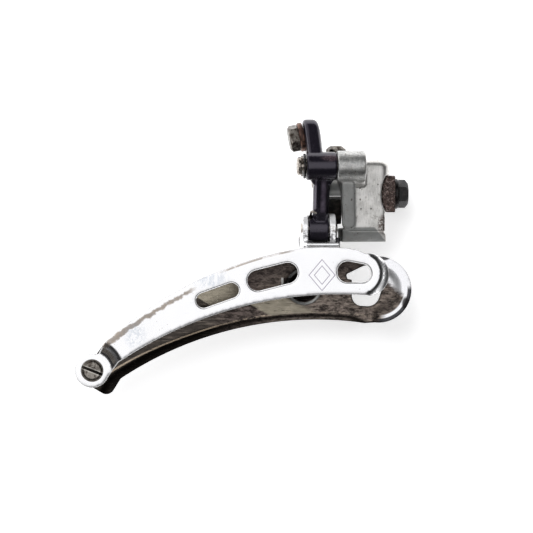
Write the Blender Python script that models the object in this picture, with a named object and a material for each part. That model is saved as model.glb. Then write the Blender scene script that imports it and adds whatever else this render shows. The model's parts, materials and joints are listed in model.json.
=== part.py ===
"""Road front derailleur with a saddle mount: a parallelogram linkage carrying a two-plate chain cage.

Frame: +X points forward along the bicycle, +Z up, +Y inboard towards the seat tube.
The origin is on the axis of the mounting bolt, at the front face of its head.
Shapes are laid out in millimetres from the deepest point of the mounting saddle, on the same axis,
and are moved to the origin and turned into metres as each mesh is made.
"""

import math

import bmesh
import bpy
from mathutils import Matrix, Vector

METRES_PER_MM = 0.001
FORWARD = (1, 0, 0)
INBOARD = (0, 1, 0)
UP = (0, 0, 1)

# The bolt head's front face, along X from the saddle's deepest point.
BOLT_FACE_X = 9.9
ORIGIN = Vector((BOLT_FACE_X, 0.0, 0.0))

# Sizes shared by several pieces
GAP = 0.3  # radial clearance in a bore
BOLT_R = 2.5
UPPER_PIN_R = 2.2
LOWER_PIN_R = 1.7  # both lower pins and the upper inner one

# Parallelogram: pivots as (y, z), all axes run along X.
OUTER_UPPER = (-13.0, 9.5)
OUTER_LOWER = (-4.0, -11.5)
INNER_OFFSET = (10.0, -5.0)
INNER_UPPER = (OUTER_UPPER[0] + INNER_OFFSET[0], OUTER_UPPER[1] + INNER_OFFSET[1])
INNER_LOWER = (OUTER_LOWER[0] + INNER_OFFSET[0], OUTER_LOWER[1] + INNER_OFFSET[1])
PIVOT_EMPTY_X = -20

# Finish: base colour, roughness, metallic
FINISHES = {
    "chrome": ((0.83, 0.84, 0.86), 0.12, 1.0),
    "worn_steel": ((0.30, 0.27, 0.24), 0.35, 1.0),
    "steel": ((0.42, 0.40, 0.37), 0.35, 1.0),
    "aluminium": ((0.58, 0.59, 0.58), 0.45, 1.0),
    "black": ((0.03, 0.025, 0.04), 0.3, 0.6),
    "black_steel": ((0.03, 0.03, 0.03), 0.45, 0.8),
    "rusty_steel": ((0.12, 0.08, 0.06), 0.6, 0.7),
    "copper_brown": ((0.19, 0.11, 0.08), 0.5, 0.8),
}
SHARP_ANGLE = 32  # degrees, above which shading breaks
BEVEL_ANGLE = 35  # degrees, above which an edge is rounded
BEVEL_SEGMENTS = 2

CORNER_STEPS = 5
SLOT_STEPS = 8
WIRE_SIDES = 8
RING_CHAMFER = 0.15


# ---------------------------------------------------------------- outlines
def arc(centre_x, centre_y, radius, start, end, steps):
    """Points on a circle from one angle to another, in degrees."""
    angles = [math.radians(start + (end - start) * i / steps) for i in range(steps + 1)]
    return [(centre_x + radius * math.cos(a), centre_y + radius * math.sin(a)) for a in angles]


def circle(centre_x, centre_y, radius, steps):
    return arc(centre_x, centre_y, radius, 0, 360 * (steps - 1) / steps, steps - 1)


def along_arc(spec, start_x, end_x, steps):
    """Points at even x steps on the upper half of a circle (centre x, centre z, radius)."""
    centre_x, centre_z, radius = spec
    stations = [start_x + (end_x - start_x) * i / steps for i in range(steps + 1)]
    return [(x, centre_z + math.sqrt(radius * radius - (x - centre_x) ** 2)) for x in stations]


def rounded(corners):
    """A closed polygon whose corners (x, y, radius) are rounded."""
    out = []
    for i, (x, y, radius) in enumerate(corners):
        if radius <= 0:
            out.append((x, y))
            continue
        here = Vector((x, y))
        before = (Vector(corners[i - 1][:2]) - here).normalized()
        after = (Vector(corners[(i + 1) % len(corners)][:2]) - here).normalized()
        half = before.angle(after) / 2
        reach = radius / math.tan(half)
        centre = here + (before + after).normalized() * (radius / math.sin(half))
        first = here + before * reach - centre
        last = here + after * reach - centre
        start = math.atan2(first.y, first.x)
        turn = (math.atan2(last.y, last.x) - start + math.pi) % (2 * math.pi) - math.pi
        for k in range(CORNER_STEPS + 1):
            angle = start + turn * k / CORNER_STEPS
            out.append((centre.x + radius * math.cos(angle), centre.y + radius * math.sin(angle)))
    return out


def slot(centre_x, centre_y, length, height, tilt):
    """A slot with round ends, tilted by some degrees."""
    half, radius = (length - height) / 2, height / 2
    flat = arc(half, 0, radius, -90, 90, SLOT_STEPS) + arc(-half, 0, radius, 90, 270, SLOT_STEPS)
    cos, sin = math.cos(math.radians(tilt)), math.sin(math.radians(tilt))
    return [(centre_x + x * cos - y * sin, centre_y + x * sin + y * cos) for x, y in flat]


def two_circles(first, first_radius, second, second_radius, steps):
    """The outline of two discs and the belt round them."""
    first, second = Vector(first), Vector(second)
    line = second - first
    base = math.degrees(math.atan2(line.y, line.x))
    lean = math.degrees(math.acos((first_radius - second_radius) / line.length))
    return (
        arc(first.x, first.y, first_radius, base + lean, base + 360 - lean, steps)
        + arc(second.x, second.y, second_radius, base - lean, base + lean, steps)
    )


def hexagon_corner_radius(across):
    return across / 2 / math.cos(math.pi / 6)


def hexagon(across, centre_x=0.0, centre_y=0.0, turn=0.0):
    radius = hexagon_corner_radius(across)
    angles = [math.radians(turn + 60 * i) for i in range(6)]
    return [(centre_x + radius * math.cos(a), centre_y + radius * math.sin(a)) for a in angles]


# ---------------------------------------------------------------- solids
def lift(axis, across, up, level):
    """A point of an outline plane: X takes (y, z), Y takes (x, z), Z takes (x, y)."""
    return {"X": (level, across, up), "Y": (across, level, up), "Z": (across, up, level)}[axis]


def flat_faces(solid, loops, axis, level):
    """Fills the first loop, leaving the others as holes."""
    edges = []
    for loop in loops:
        verts = [solid.verts.new(lift(axis, *point, level)) for point in loop]
        edges += [solid.edges.new((verts[i - 1], verts[i])) for i in range(len(verts))]
    bmesh.ops.triangle_fill(solid, use_beauty=True, edges=edges, normal=lift(axis, 0, 0, 1))
    return list(solid.faces)


def extrude(solid, faces):
    """Extrudes faces in place and gives the new vertices."""
    moved = bmesh.ops.extrude_face_region(solid, geom=faces)["geom"]
    return [item for item in moved if isinstance(item, bmesh.types.BMVert)]


def prism(outline, axis, low, high):
    """An outline pushed along an axis from one level to another."""
    solid = bmesh.new()
    verts = extrude(solid, flat_faces(solid, [outline], axis, low))
    bmesh.ops.translate(solid, verts=verts, vec=Vector(lift(axis, 0, 0, high - low)))
    bmesh.ops.recalc_face_normals(solid, faces=solid.faces)
    return solid


def hull(points):
    solid = bmesh.new()
    verts = [solid.verts.new(point) for point in points]
    bmesh.ops.convex_hull(solid, input=verts)
    loose = [v for v in solid.verts if not v.link_faces]
    bmesh.ops.delete(solid, geom=loose, context="VERTS")
    bmesh.ops.recalc_face_normals(solid, faces=solid.faces)
    return solid


def box(low, high):
    spans = list(zip(low, high))
    return hull([(x, y, z) for x in spans[0] for y in spans[1] for z in spans[2]])


def aim(solid, centre, direction):
    """Turns a solid built along +X to a direction and moves it to a centre."""
    turn = Vector(FORWARD).rotation_difference(Vector(direction)).to_matrix().to_4x4()
    matrix = Matrix.Translation(Vector(centre)) @ turn
    bmesh.ops.transform(solid, matrix=matrix, verts=solid.verts)


def turned(profile, centre, direction=FORWARD, steps=24):
    """A closed profile of (along, radius) points spun round an axis."""
    solid = bmesh.new()
    verts = [solid.verts.new((along, 0, radius)) for along, radius in profile]
    edges = [solid.edges.new((verts[i - 1], verts[i])) for i in range(len(verts))]
    # An edge lying on the axis would spin into nothing.
    edges = [e for e in edges if max(abs(v.co.z) for v in e.verts) > 1e-6]
    for edge in [e for e in solid.edges if e not in edges]:
        solid.edges.remove(edge)
    bmesh.ops.spin(
        solid, geom=verts + edges, cent=(0, 0, 0), axis=FORWARD, dvec=(0, 0, 0),
        angle=2 * math.pi, steps=steps, use_merge=True,
    )
    bmesh.ops.remove_doubles(solid, verts=solid.verts, dist=1e-5)
    bmesh.ops.recalc_face_normals(solid, faces=solid.faces)
    if solid.calc_volume(signed=True) < 0:
        bmesh.ops.reverse_faces(solid, faces=solid.faces)
    aim(solid, centre, direction)
    return solid


def rod(start, end, radius, centre=(0, 0, 0), direction=FORWARD, chamfer=0.0, steps=24):
    """A round bar between two places along its axis, optionally with end chamfers."""
    if chamfer:
        rim = [(start, radius - chamfer), (start + chamfer, radius),
               (end - chamfer, radius), (end, radius - chamfer)]
    else:
        rim = [(start, radius), (end, radius)]
    return turned([(start, 0), *rim, (end, 0)], centre, direction, steps)


def ring(start, end, inner, outer, centre=(0, 0, 0), direction=FORWARD):
    rim = outer - RING_CHAMFER
    profile = [(start, inner), (start, rim), (start + RING_CHAMFER, outer),
               (end - RING_CHAMFER, outer), (end, rim), (end, inner)]
    return turned(profile, centre, direction, steps=28)


def tube(path, radius):
    """A round wire along a path of points, with flat ends."""
    solid = bmesh.new()
    points = [Vector(point) for point in path]
    last = len(points) - 1
    tangents = [
        (points[min(i + 1, last)] - points[max(i - 1, 0)]).normalized() for i in range(last + 1)
    ]
    angles = [2 * math.pi * k / WIRE_SIDES for k in range(WIRE_SIDES)]
    side = tangents[0].orthogonal().normalized()
    rings = []
    for i, (point, tangent) in enumerate(zip(points, tangents)):
        if i:
            side = tangents[i - 1].rotation_difference(tangent) @ side
        side = (side - tangent * side.dot(tangent)).normalized()
        other = tangent.cross(side)
        rings.append([
            solid.verts.new(point + radius * (side * math.cos(a) + other * math.sin(a)))
            for a in angles
        ])
    for near, far in zip(rings, rings[1:]):
        for k in range(WIRE_SIDES):
            solid.faces.new((near[k - 1], near[k], far[k], far[k - 1]))
    solid.faces.new(list(reversed(rings[0])))
    solid.faces.new(rings[-1])
    bmesh.ops.recalc_face_normals(solid, faces=solid.faces)
    return solid


# ---------------------------------------------------------------- objects
def material_for(name, finish):
    colour, roughness, metallic = FINISHES[finish]
    made = bpy.data.materials.new(name + "_" + finish)
    made.use_nodes = True
    shader = made.node_tree.nodes["Principled BSDF"]
    shader.inputs["Base Color"].default_value = (*colour, 1)
    shader.inputs["Roughness"].default_value = roughness
    shader.inputs["Metallic"].default_value = metallic
    made.diffuse_color = (*colour, 1)
    return made


def empty(name, place, parent=None):
    """An empty at a place in millimetres."""
    made = bpy.data.objects.new(name, None)
    made.empty_display_size = 0.004
    bpy.context.scene.collection.objects.link(made)
    made.location = (Vector(place) - ORIGIN) * METRES_PER_MM
    if parent:
        made.parent = parent
        made.location -= parent.matrix_world.translation
    bpy.context.view_layer.update()
    return made


def put(name, solid, finish, parent):
    """Makes an object of a solid in millimetres, its origin on its parent; no finish, a helper."""
    origin = parent.matrix_world.translation
    for v in solid.verts:
        v.co = (v.co - ORIGIN) * METRES_PER_MM - origin
    mesh = bpy.data.meshes.new(name)
    solid.to_mesh(mesh)
    solid.free()
    mesh.shade_smooth()
    mesh.set_sharp_from_angle(angle=math.radians(SHARP_ANGLE))
    made = bpy.data.objects.new(name, mesh)
    bpy.context.scene.collection.objects.link(made)
    made.parent = parent
    if finish:
        mesh.materials.append(material_for(name, finish))
    else:
        made.hide_render = True
        made.display_type = "WIRE"
    return made


def soften(target, width):
    step = target.modifiers.new("round", "BEVEL")
    step.width = width * METRES_PER_MM
    step.segments = BEVEL_SEGMENTS
    step.limit_method = "ANGLE"
    step.angle_limit = math.radians(BEVEL_ANGLE)


def boolean(target, kind, solid, name, width=0.0):
    """Combines a helper solid with the target; a width rounds the helper's edges."""
    helper = put(name, solid, None, target.parent)
    if width:
        soften(helper, width)
    step = target.modifiers.new(name, "BOOLEAN")
    step.operation = kind
    step.solver = "EXACT"
    step.object = helper


def cut(target, solid, name):
    boolean(target, "DIFFERENCE", solid, name)


def join(target, solid, name, width=0.0):
    boolean(target, "UNION", solid, name, width)


def at(pivot, x=0.0):
    return (x, pivot[0], pivot[1])


def bore(target, span, radius, pivot, name):
    """Cuts a round hole along X on a pivot's axis."""
    cut(target, rod(*span, radius, at(pivot)), name)


def hex_bolt(name, across, head, shank_radius, shank_end, centre, direction, parent, finish):
    """A hex-head bolt: the head spans head[0] to head[1], the shank runs back to shank_end."""
    solid = prism(hexagon(across, turn=90), "X", *head)
    aim(solid, centre, direction)
    bolt = put(name, solid, finish, parent)
    corner = hexagon_corner_radius(across)
    base, top = head
    # Trims the head's outer corners to a cone.
    crown = [(base - 1, 0), (base - 1, corner + 1), (top - 1.0, corner + 0.05),
             (top, corner - 1.15), (top, 0)]
    boolean(bolt, "INTERSECT", turned(crown, centre, direction, 32), name + "_crown")
    join(bolt, rod(shank_end, base + 0.5, shank_radius, centre, direction), name + "_shank")


# ---------------------------------------------------------------- mount
BODY_OUTLINE = [(-8.2, -8.5, 1.2), (2.9, -8.5, 3.2), (2.9, 8.5, 3.2), (-8.2, 8.5, 1.2)]  # x, y, r
BODY_Z = (-12.5, 11.5)
FOOT_POINTS = [
    (-13.3, 8.2, -11.6), (1.2, 8.2, -11.2), (2.2, 8.2, -16.0), (-13.0, 8.2, -16.3),
    (-13.3, -8.3, -11.6), (-0.8, -8.3, -11.2), (2.0, -6.4, -13.8), (2.2, -4.9, -16.2),
    (-13.0, -4.9, -16.3),
]
RIB_OUTLINE = [(-14.2, 6.0, 0), (-9.0, 6.0, 0), (-9.0, -11.9, 2.2), (-13.0, -11.9, 1.5)]  # x, z, r
RIB_Y = (-14.3, -7.6)
KNUCKLE_R = 5.2
OUTER_KNUCKLE_X = (-15.5, -5.9)
INNER_KNUCKLE_X = (-17.6, -7.0)
# Opposite corners (x, y, z)
DECK = ((-14.5, -12.6, 3.2), (-5.0, 6.5, 13.6))
SHELF = ((-17.6, -7.5, 3.2), (-10.0, 6.5, 13.6))
DECK_ROUNDING = 0.6

SADDLE_R = 13.2
SADDLE_HALF = 6.3
CUTTER_FRONT = 12
CUTTER_HALF_Y = 15

WASHER_R = 12.4
WASHER_HALF = 6.2
WASHER_FRONT = 5.1

LIMIT_SCREW_X = -14.6
LIMIT_SCREWS = {"high_limit_screw": -4.4, "low_limit_screw": 2.6}  # y of each
LIMIT_HOLE = (7.2, 20, 2.2)  # bottom z, top z, radius
# z, radius
LIMIT_SCREW_PROFILE = [
    (7.6, 0), (7.6, 1.5), (8.1, 1.9), (13.9, 1.9), (13.9, 3.0), (15.5, 3.0), (16.1, 2.4), (16.3, 0),
]
LIMIT_SEAT_Z = 13.9
LIMIT_SLOT_HALF = (4, 0.4)  # x, y
LIMIT_SLOT_Z = (15.3, 18)


def saddle_outline(front, centre_x, radius, half_height, steps):
    """A flat front closed behind by an arc round an axis along Y."""
    half = math.degrees(math.asin(half_height / radius))
    hollow = arc(centre_x, 0, radius, 180 - half, 180 + half, steps)
    return [(front, half_height), *hollow, (front, -half_height)]


def mount_body():
    body = put("mount_body", prism(rounded(BODY_OUTLINE), "Z", *BODY_Z), "aluminium", ROOT)
    # The foot's outboard face slopes in, and its front outboard corner is cut back.
    join(body, hull(FOOT_POINTS), "body_foot")
    join(body, prism(rounded(RIB_OUTLINE), "Y", *RIB_Y), "body_rib")
    knuckle = rod(*OUTER_KNUCKLE_X, KNUCKLE_R, at(OUTER_UPPER), chamfer=0.7, steps=32)
    join(body, knuckle, "body_knuckle")
    join(body, box(*DECK), "body_deck", DECK_ROUNDING)
    join(body, box(*SHELF), "body_shelf", DECK_ROUNDING)
    knuckle = rod(*INNER_KNUCKLE_X, KNUCKLE_R, at(INNER_UPPER), chamfer=0.4, steps=32)
    join(body, knuckle, "body_inner_knuckle")
    # Saddle: a hollow round a cross axis, between two level lips.
    hollow = saddle_outline(CUTTER_FRONT, SADDLE_R, SADDLE_R, SADDLE_HALF, 12)
    cut(body, prism(hollow, "Y", -CUTTER_HALF_Y, CUTTER_HALF_Y), "saddle_cutter")
    lower_front = box(
        (1.3, -CUTTER_HALF_Y, -12.9), (CUTTER_FRONT, CUTTER_HALF_Y, -SADDLE_HALF + 0.1)
    )
    cut(body, lower_front, "lower_front_cutter")
    cut(body, rod(-7.6, 6, BOLT_R + GAP), "bolt_hole_cutter")
    bore(body, (-20, -6.4), UPPER_PIN_R + GAP, OUTER_UPPER, "upper_outer_hole_cutter")
    bore(body, (-20, -9.0), LOWER_PIN_R + GAP, INNER_UPPER, "upper_inner_hole_cutter")
    for name, y in LIMIT_SCREWS.items():
        cut(body, rod(*LIMIT_HOLE, (LIMIT_SCREW_X, y, 0), UP), name + "_hole_cutter")


def mount_hardware():
    outline = saddle_outline(WASHER_FRONT, SADDLE_R - 0.3, WASHER_R, WASHER_HALF, 10)
    solid = prism(outline, "Y", -WASHER_HALF, WASHER_HALF)
    washer = put("saddle_washer", solid, "rusty_steel", ROOT)
    cut(washer, rod(-3, 9, BOLT_R + GAP), "saddle_washer_hole_cutter")
    put("mount_washer", ring(5.35, 6.45, BOLT_R + GAP, 5.1), "black_steel", ROOT)
    hex_bolt(
        "mount_bolt", across=8.3, head=(6.7, BOLT_FACE_X), shank_radius=BOLT_R, shank_end=-7.0,
        centre=(0, 0, 0), direction=FORWARD, parent=ROOT, finish="black_steel",
    )


def limit_screws():
    half_x, half_y = LIMIT_SLOT_HALF
    slot_bottom, slot_top = LIMIT_SLOT_Z
    x = LIMIT_SCREW_X
    for name, y in LIMIT_SCREWS.items():
        holder = empty(name + "_axis", (x, y, LIMIT_SEAT_Z), ROOT)
        screw = put(name, turned(LIMIT_SCREW_PROFILE, (x, y, 0), UP), "steel", holder)
        groove = box((x - half_x, y - half_y, slot_bottom), (x + half_x, y + half_y, slot_top))
        cut(screw, groove, name + "_slot_cutter")


# ---------------------------------------------------------------- outer link
LINK_BORE_X = (-30, -10)  # cutters that pass right through the outer link and the bracket
UPPER_BARREL_X = (-25.9, -15.8)
UPPER_BARREL_R = 4.75
LOWER_BARREL_X = (-24.4, -17.7)
LOWER_BARREL_R = 4.4
ARM_X = (-22.7, -17.9)
ARM_DEPTH = 5.2
ARM_ROUNDING = 1.4
ARM_ROOT_X = (-23.4, -20.2)
ARM_ROOT_R = 4.3
SPRING_POCKET_R = 3.75
SPRING_POCKET_END = -19.35

# The cable arm's rear face leans back towards its top by the tilt.
CABLE_TILT = math.radians(10.0)
CABLE_AXIS = Vector((-math.cos(CABLE_TILT), 0, -math.sin(CABLE_TILT)))
CABLE_ARM_Z = 18.85
CABLE_HOLE = (-25.7, -4.5, CABLE_ARM_Z + 0.6)
CABLE_HOLE_R = 2.7
CABLE_PAD_Z = CABLE_ARM_Z + 1.25
CABLE_PAD_R = 5.2
CABLE_FRONT_X = -20.6
CABLE_FRONT_R = 4.3
CABLE_FRONT_SLOPE = 0.15
ARM_HULL_STEPS = 18


def outer_link():
    hole_x, hole_y, hole_z = CABLE_HOLE
    slope = math.tan(CABLE_TILT)
    pad = circle(hole_y, CABLE_PAD_Z, CABLE_PAD_R, ARM_HULL_STEPS)
    front = circle(hole_y, hole_z, CABLE_FRONT_R, ARM_HULL_STEPS)
    root = circle(*OUTER_UPPER, ARM_ROOT_R, ARM_HULL_STEPS)
    points = [(hole_x - (z - hole_z) * slope, y, z) for y, z in pad]
    points += [(CABLE_FRONT_X - CABLE_FRONT_SLOPE * (z - hole_z), y, z) for y, z in front]
    points += [(x, y, z) for x in ARM_ROOT_X for y, z in root]
    link = put("outer_link", hull(points), "black", LINK)
    barrel = rod(*UPPER_BARREL_X, UPPER_BARREL_R, at(OUTER_UPPER), chamfer=0.3, steps=32)
    join(link, barrel, "outer_link_upper_barrel")
    arm = two_circles(OUTER_UPPER, ARM_DEPTH / 2, OUTER_LOWER, ARM_DEPTH / 2, 6)
    join(link, prism(arm, "X", *ARM_X), "outer_link_arm", ARM_ROUNDING)
    barrel = rod(*LOWER_BARREL_X, LOWER_BARREL_R, at(OUTER_LOWER), steps=32)
    join(link, barrel, "outer_link_lower_barrel")
    bore(link, LINK_BORE_X, UPPER_PIN_R + GAP, OUTER_UPPER, "outer_link_upper_bore_cutter")
    cut(link, rod(-12, 6, CABLE_HOLE_R, CABLE_HOLE, CABLE_AXIS), "cable_anchor_hole_cutter")
    # A wide bore from the rear takes the spring; only the pin passes out in front.
    start, end = LINK_BORE_X
    radius = LOWER_PIN_R + GAP
    stepped = [
        (start, 0), (start, SPRING_POCKET_R), (SPRING_POCKET_END, SPRING_POCKET_R),
        (SPRING_POCKET_END, radius), (end, radius), (end, 0),
    ]
    cut(link, turned(stepped, at(OUTER_LOWER), steps=28), "outer_link_lower_bore_cutter")
    y, z = OUTER_LOWER
    leg_slot = box((-25.0, y - 2.85, z + 2.2), (-23.05, y - 0.7, z + 5.2))
    cut(link, leg_slot, "spring_leg_slot_cutter")


def cable_anchor():
    hex_bolt(
        "cable_anchor_bolt", across=8.0, head=(2.15, 5.3), shank_radius=2.4, shank_end=-3.4,
        centre=CABLE_HOLE, direction=CABLE_AXIS, parent=LINK, finish="steel",
    )
    washer = ring(0.25, 1.95, CABLE_HOLE_R, 4.9, CABLE_HOLE, CABLE_AXIS)
    put("cable_clamp_washer", washer, "copper_brown", LINK)


# ---------------------------------------------------------------- inner link
INNER_BORE_X = (-30, -5)
INNER_ARM_X = (-22.1, -17.6)
INNER_ARM_R = 1.6
WEB_HALF = 1.5
WEB_X = (-18.3, -12.5)
WEB_START = 9.7  # above the lower pivot, along the link
WEB_END = 6.3  # below the upper pivot
TOE_X = (-15.0, -12.5)
TOE_START = 7.3
CHEEK_X = (-15.0, -13.9)
CHEEK_TOP = 11.2


def inner_link():
    upper, lower = Vector(INNER_UPPER), Vector(INNER_LOWER)
    up = (upper - lower).normalized()
    half = Vector((up.y, -up.x)) * WEB_HALF

    def strip(start, end):
        return [start + half, end + half, end - half, start - half]

    arm = two_circles(upper, INNER_ARM_R, lower, INNER_ARM_R, 6)
    link = put("inner_link", prism(arm, "X", *INNER_ARM_X), "black", INNER)
    web_low = lower + up * WEB_START
    join(link, prism(strip(web_low, upper - up * WEB_END), "X", *WEB_X), "inner_link_web")
    toe = strip(lower + up * TOE_START, web_low + up)
    join(link, prism(toe, "X", *TOE_X), "inner_link_web_toe")
    cheek = two_circles(lower, 3.2, lower + up * CHEEK_TOP, 1.45, 8)
    join(link, prism(cheek, "X", *CHEEK_X), "inner_link_cheek")
    join(link, rod(-22.1, -17.95, 3.4, at(INNER_UPPER)), "inner_link_upper_barrel")
    join(link, rod(-23.75, -17.75, 3.2, at(INNER_LOWER)), "inner_link_lower_barrel")
    bore(link, INNER_BORE_X, LOWER_PIN_R + GAP, INNER_UPPER, "inner_link_upper_bore_cutter")
    bore(link, INNER_BORE_X, LOWER_PIN_R + 0.35, INNER_LOWER, "inner_link_lower_bore_cutter")


# ---------------------------------------------------------------- pins and spring
# Pin profiles: x, radius
UPPER_OUTER_PIN = [
    (-29.0, 0), (-29.0, 2.5), (-28.7, 3.0), (-27.8, 3.0), (-27.8, 1.6), (-26.9, 1.6),
    (-26.9, UPPER_PIN_R), (-6.8, UPPER_PIN_R), (-6.8, 0),
]
UPPER_INNER_PIN = [
    (-23.0, 0), (-23.0, 2.2), (-22.8, 2.5), (-22.35, 2.5),
    (-22.35, LOWER_PIN_R), (-9.3, LOWER_PIN_R), (-9.3, 0),
]
LOWER_OUTER_PIN = [
    (-26.75, 0), (-26.75, 1.4), (-26.55, LOWER_PIN_R), (-15.2, LOWER_PIN_R), (-15.2, 1.3),
    (-14.75, 1.3), (-14.75, LOWER_PIN_R), (-14.65, LOWER_PIN_R), (-14.5, 1.4), (-14.5, 0),
]
LOWER_INNER_PIN = [
    (-26.55, 0), (-26.55, 1.5), (-26.35, LOWER_PIN_R), (-24.62, LOWER_PIN_R), (-24.62, 1.3),
    (-24.05, 1.3), (-24.05, LOWER_PIN_R), (-13.85, LOWER_PIN_R), (-13.65, 1.5), (-13.65, 0),
]
CLIP_OPENING = 110  # degrees

SPRING_R = 3.05
SPRING_WIRE_R = 0.42
SPRING_START = math.radians(113.0)
SPRING_TURNS = 4.2
SPRING_STEPS = 72
SPRING_X = (-23.7, -19.85)
# Leg stations: x, reach from the pin axis towards the coil's start, then shifts in y and z
SPRING_LEG = [
    (-22.15, 6.1, -3.7, -0.5), (-23.05, 6.3, -3.4, -0.2), (-23.65, 6.0, -2.0, 0),
    (-23.7, 5.0, -0.6, 0), (-23.7, 4.0, -0.1, 0),
]


def pin(name, pivot, profile, parent):
    put(name, turned(profile, at(pivot)), "steel", parent)


def clip_ring(name, span, inner, outer, pivot, parent, towards):
    """An open spring clip; its gap faces `towards`, in degrees from +Y up to +Z."""
    start = towards + CLIP_OPENING / 2
    end = towards + 360 - CLIP_OPENING / 2
    outline = arc(*pivot, outer, start, end, 18) + arc(*pivot, inner, end, start, 18)
    put(name, prism(outline, "X", *span), "steel", parent)


def pins():
    pin("upper_outer_pin", OUTER_UPPER, UPPER_OUTER_PIN, ROOT)
    clip_ring("upper_outer_clip", (-27.65, -27.15), 1.8, 3.5, OUTER_UPPER, ROOT, towards=200)
    shim = ring(-26.85, -26.15, UPPER_PIN_R + GAP, 4.2, at(OUTER_UPPER))
    put("pivot_shim", shim, "black_steel", ROOT)
    pin("upper_inner_pin", INNER_UPPER, UPPER_INNER_PIN, ROOT)
    pin("lower_outer_pin", OUTER_LOWER, LOWER_OUTER_PIN, CAGE)
    clip_ring("lower_outer_clip", (-15.12, -14.83), 1.45, 2.6, OUTER_LOWER, CAGE, towards=60)
    pin("lower_inner_pin", INNER_LOWER, LOWER_INNER_PIN, CAGE)
    clip_ring("lower_inner_clip", (-24.5, -24.15), 1.45, 2.6, INNER_LOWER, CAGE, towards=120)


def return_spring():
    """A coil round the lower outer pin, with a bent leg at its rear end."""
    y, z = OUTER_LOWER
    first, last = SPRING_X
    out_y, out_z = Vector((math.cos(SPRING_START), math.sin(SPRING_START)))
    path = [
        (x, y + out_y * reach + shift_y, z + out_z * reach + shift_z)
        for x, reach, shift_y, shift_z in SPRING_LEG
    ]
    for i in range(SPRING_STEPS + 1):
        angle = SPRING_START - 2 * math.pi * SPRING_TURNS * i / SPRING_STEPS
        x = first + (last - first) * i / SPRING_STEPS
        path.append((x, y + SPRING_R * math.cos(angle), z + SPRING_R * math.sin(angle)))
    put("return_spring", tube(path, SPRING_WIRE_R), "steel", LINK)


# ---------------------------------------------------------------- cage bracket
# Seen from outboard-in order along X: the left ear is the rear one, the right ear the front one.
EARS = {"left": (-26.5, -24.7), "right": (-17.4, -15.3)}
BRACKET_REAR = EARS["left"][0]
BRACKET_FRONT = EARS["right"][1]
BASE_Y = (-20.3, -1.5)
BASE_Z = (-17.3, -16.2)
EAR_OUTER_R = 4.9
EAR_INNER_R = 3.7
FLANGES = {"outer": (-18.9, -17.8, -22.2), "inner": (-9.7, -8.5, -25.2)}  # y span, bottom z

RIVETS = {"bracket_rivet_rear": -22.8, "bracket_rivet_front": -17.8}  # x of each
RIVET_Z = -22.6
RIVET_HOLE_R = 1.6
# y, radius
RIVET_PROFILE = [
    (-10.6, 0), (-10.6, 1.6), (-10.3, 2.2), (-9.9, 2.2), (-9.9, 1.3),
    (-6.8, 1.3), (-6.8, 2.2), (-6.4, 2.2), (-6.1, 1.6), (-6.1, 0),
]


def cage_bracket():
    bottom, top = BASE_Z
    base = box((BRACKET_REAR, BASE_Y[0], bottom), (BRACKET_FRONT, BASE_Y[1], top))
    bracket = put("cage_bracket", base, "chrome", CAGE)
    y, z = OUTER_LOWER
    ear = two_circles(OUTER_LOWER, EAR_OUTER_R, INNER_LOWER, EAR_INNER_R, 14)
    for side, (rear, front) in EARS.items():
        join(bracket, prism(ear, "X", rear, front), f"bracket_{side}_ear")
        foot = box((rear, y - 4.7, bottom + 0.2), (front, y + 3.0, z))
        join(bracket, foot, f"bracket_{side}_foot")
    for side, (low_y, high_y, low_z) in FLANGES.items():
        flange = box((BRACKET_REAR, low_y, low_z), (BRACKET_FRONT, high_y, bottom + 0.4))
        join(bracket, flange, f"bracket_{side}_flange")
    tab = box((BRACKET_FRONT - 0.4, -6.5, -19.6), (-13.75, -1.4, -14.7))
    join(bracket, tab, "bracket_side_tab")
    for side, pivot in (("outer", OUTER_LOWER), ("inner", INNER_LOWER)):
        bore(bracket, LINK_BORE_X, LOWER_PIN_R + GAP, pivot, f"bracket_{side}_bore_cutter")
    for name, x in RIVETS.items():
        hole = rod(-12, -6, RIVET_HOLE_R, (x, 0, RIVET_Z), INBOARD)
        cut(bracket, hole, name + "_bracket_hole_cutter")


def rivets():
    for name, x in RIVETS.items():
        put(name, turned(RIVET_PROFILE, (x, 0, RIVET_Z), INBOARD, 16), "steel", CAGE)


# ---------------------------------------------------------------- cage plates
SHEET = 1.2
# Outboard face of each plate
OUTER_PLATE_Y = -20.4
INNER_PLATE_Y = -8.2

# Arcs: centre x, centre z, radius
TOP_ARC = (-8.5, -144.9, 128.5)
INNER_TOP_ARC = (TOP_ARC[0], TOP_ARC[1] - 1.6, TOP_ARC[2])
OUTER_BOTTOM_ARC = (-15.6, -165.6, 132.2)
INNER_BOTTOM_ARC = (-22.4, -161.7, 119.3)
OUTER_NOSE = (-5.6, -26.9, 7.2)
OUTER_NOSE_FLAT = (-8.3, -26.4, 6.7)  # inside it the nose is not curled
INNER_NOSE = (-1.0, -32.2, 11.2)
DISH = (-26.1, -31.2, 6.1)  # round dimple in the inner plate
DISH_DEPTH = 1.5
OUTER_NOSE_CURL = 2.2
INNER_NOSE_CURL = 1.3
INNER_CURL_MARGIN = 5.4  # the curl starts this far inside the nose arc

TAIL = (-98.2, -58.8)
TAIL_BOSS_R = 5.8
TAIL_HOLE_R = 2.2
TAIL_STEP = 3.2  # the outer plate's tail is set inboard by this
TAIL_STEP_START = 6.1
TAIL_STEP_RUN = 4.2
TAIL_DIRECTION = (0.83, 0.555)  # x, z, from the tail towards the nose

# x, z, between the nose arc and the top arc
OUTER_SHOULDER = [(-9.0, -18.6), (-12.0, -18.0), (-16.0, -17.65), (-21.0, -17.6)]
INNER_SHOULDER = [(-6.0, -20.4), (-12.0, -19.6), (-19.0, -19.2)]
# Centre x, centre z, length, height, tilt
OUTER_SLOTS = [(-56.3, -33.7, 14.9, 5.0, 19.5), (-37.8, -27.5, 17.2, 6.9, 14.0)]
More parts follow.
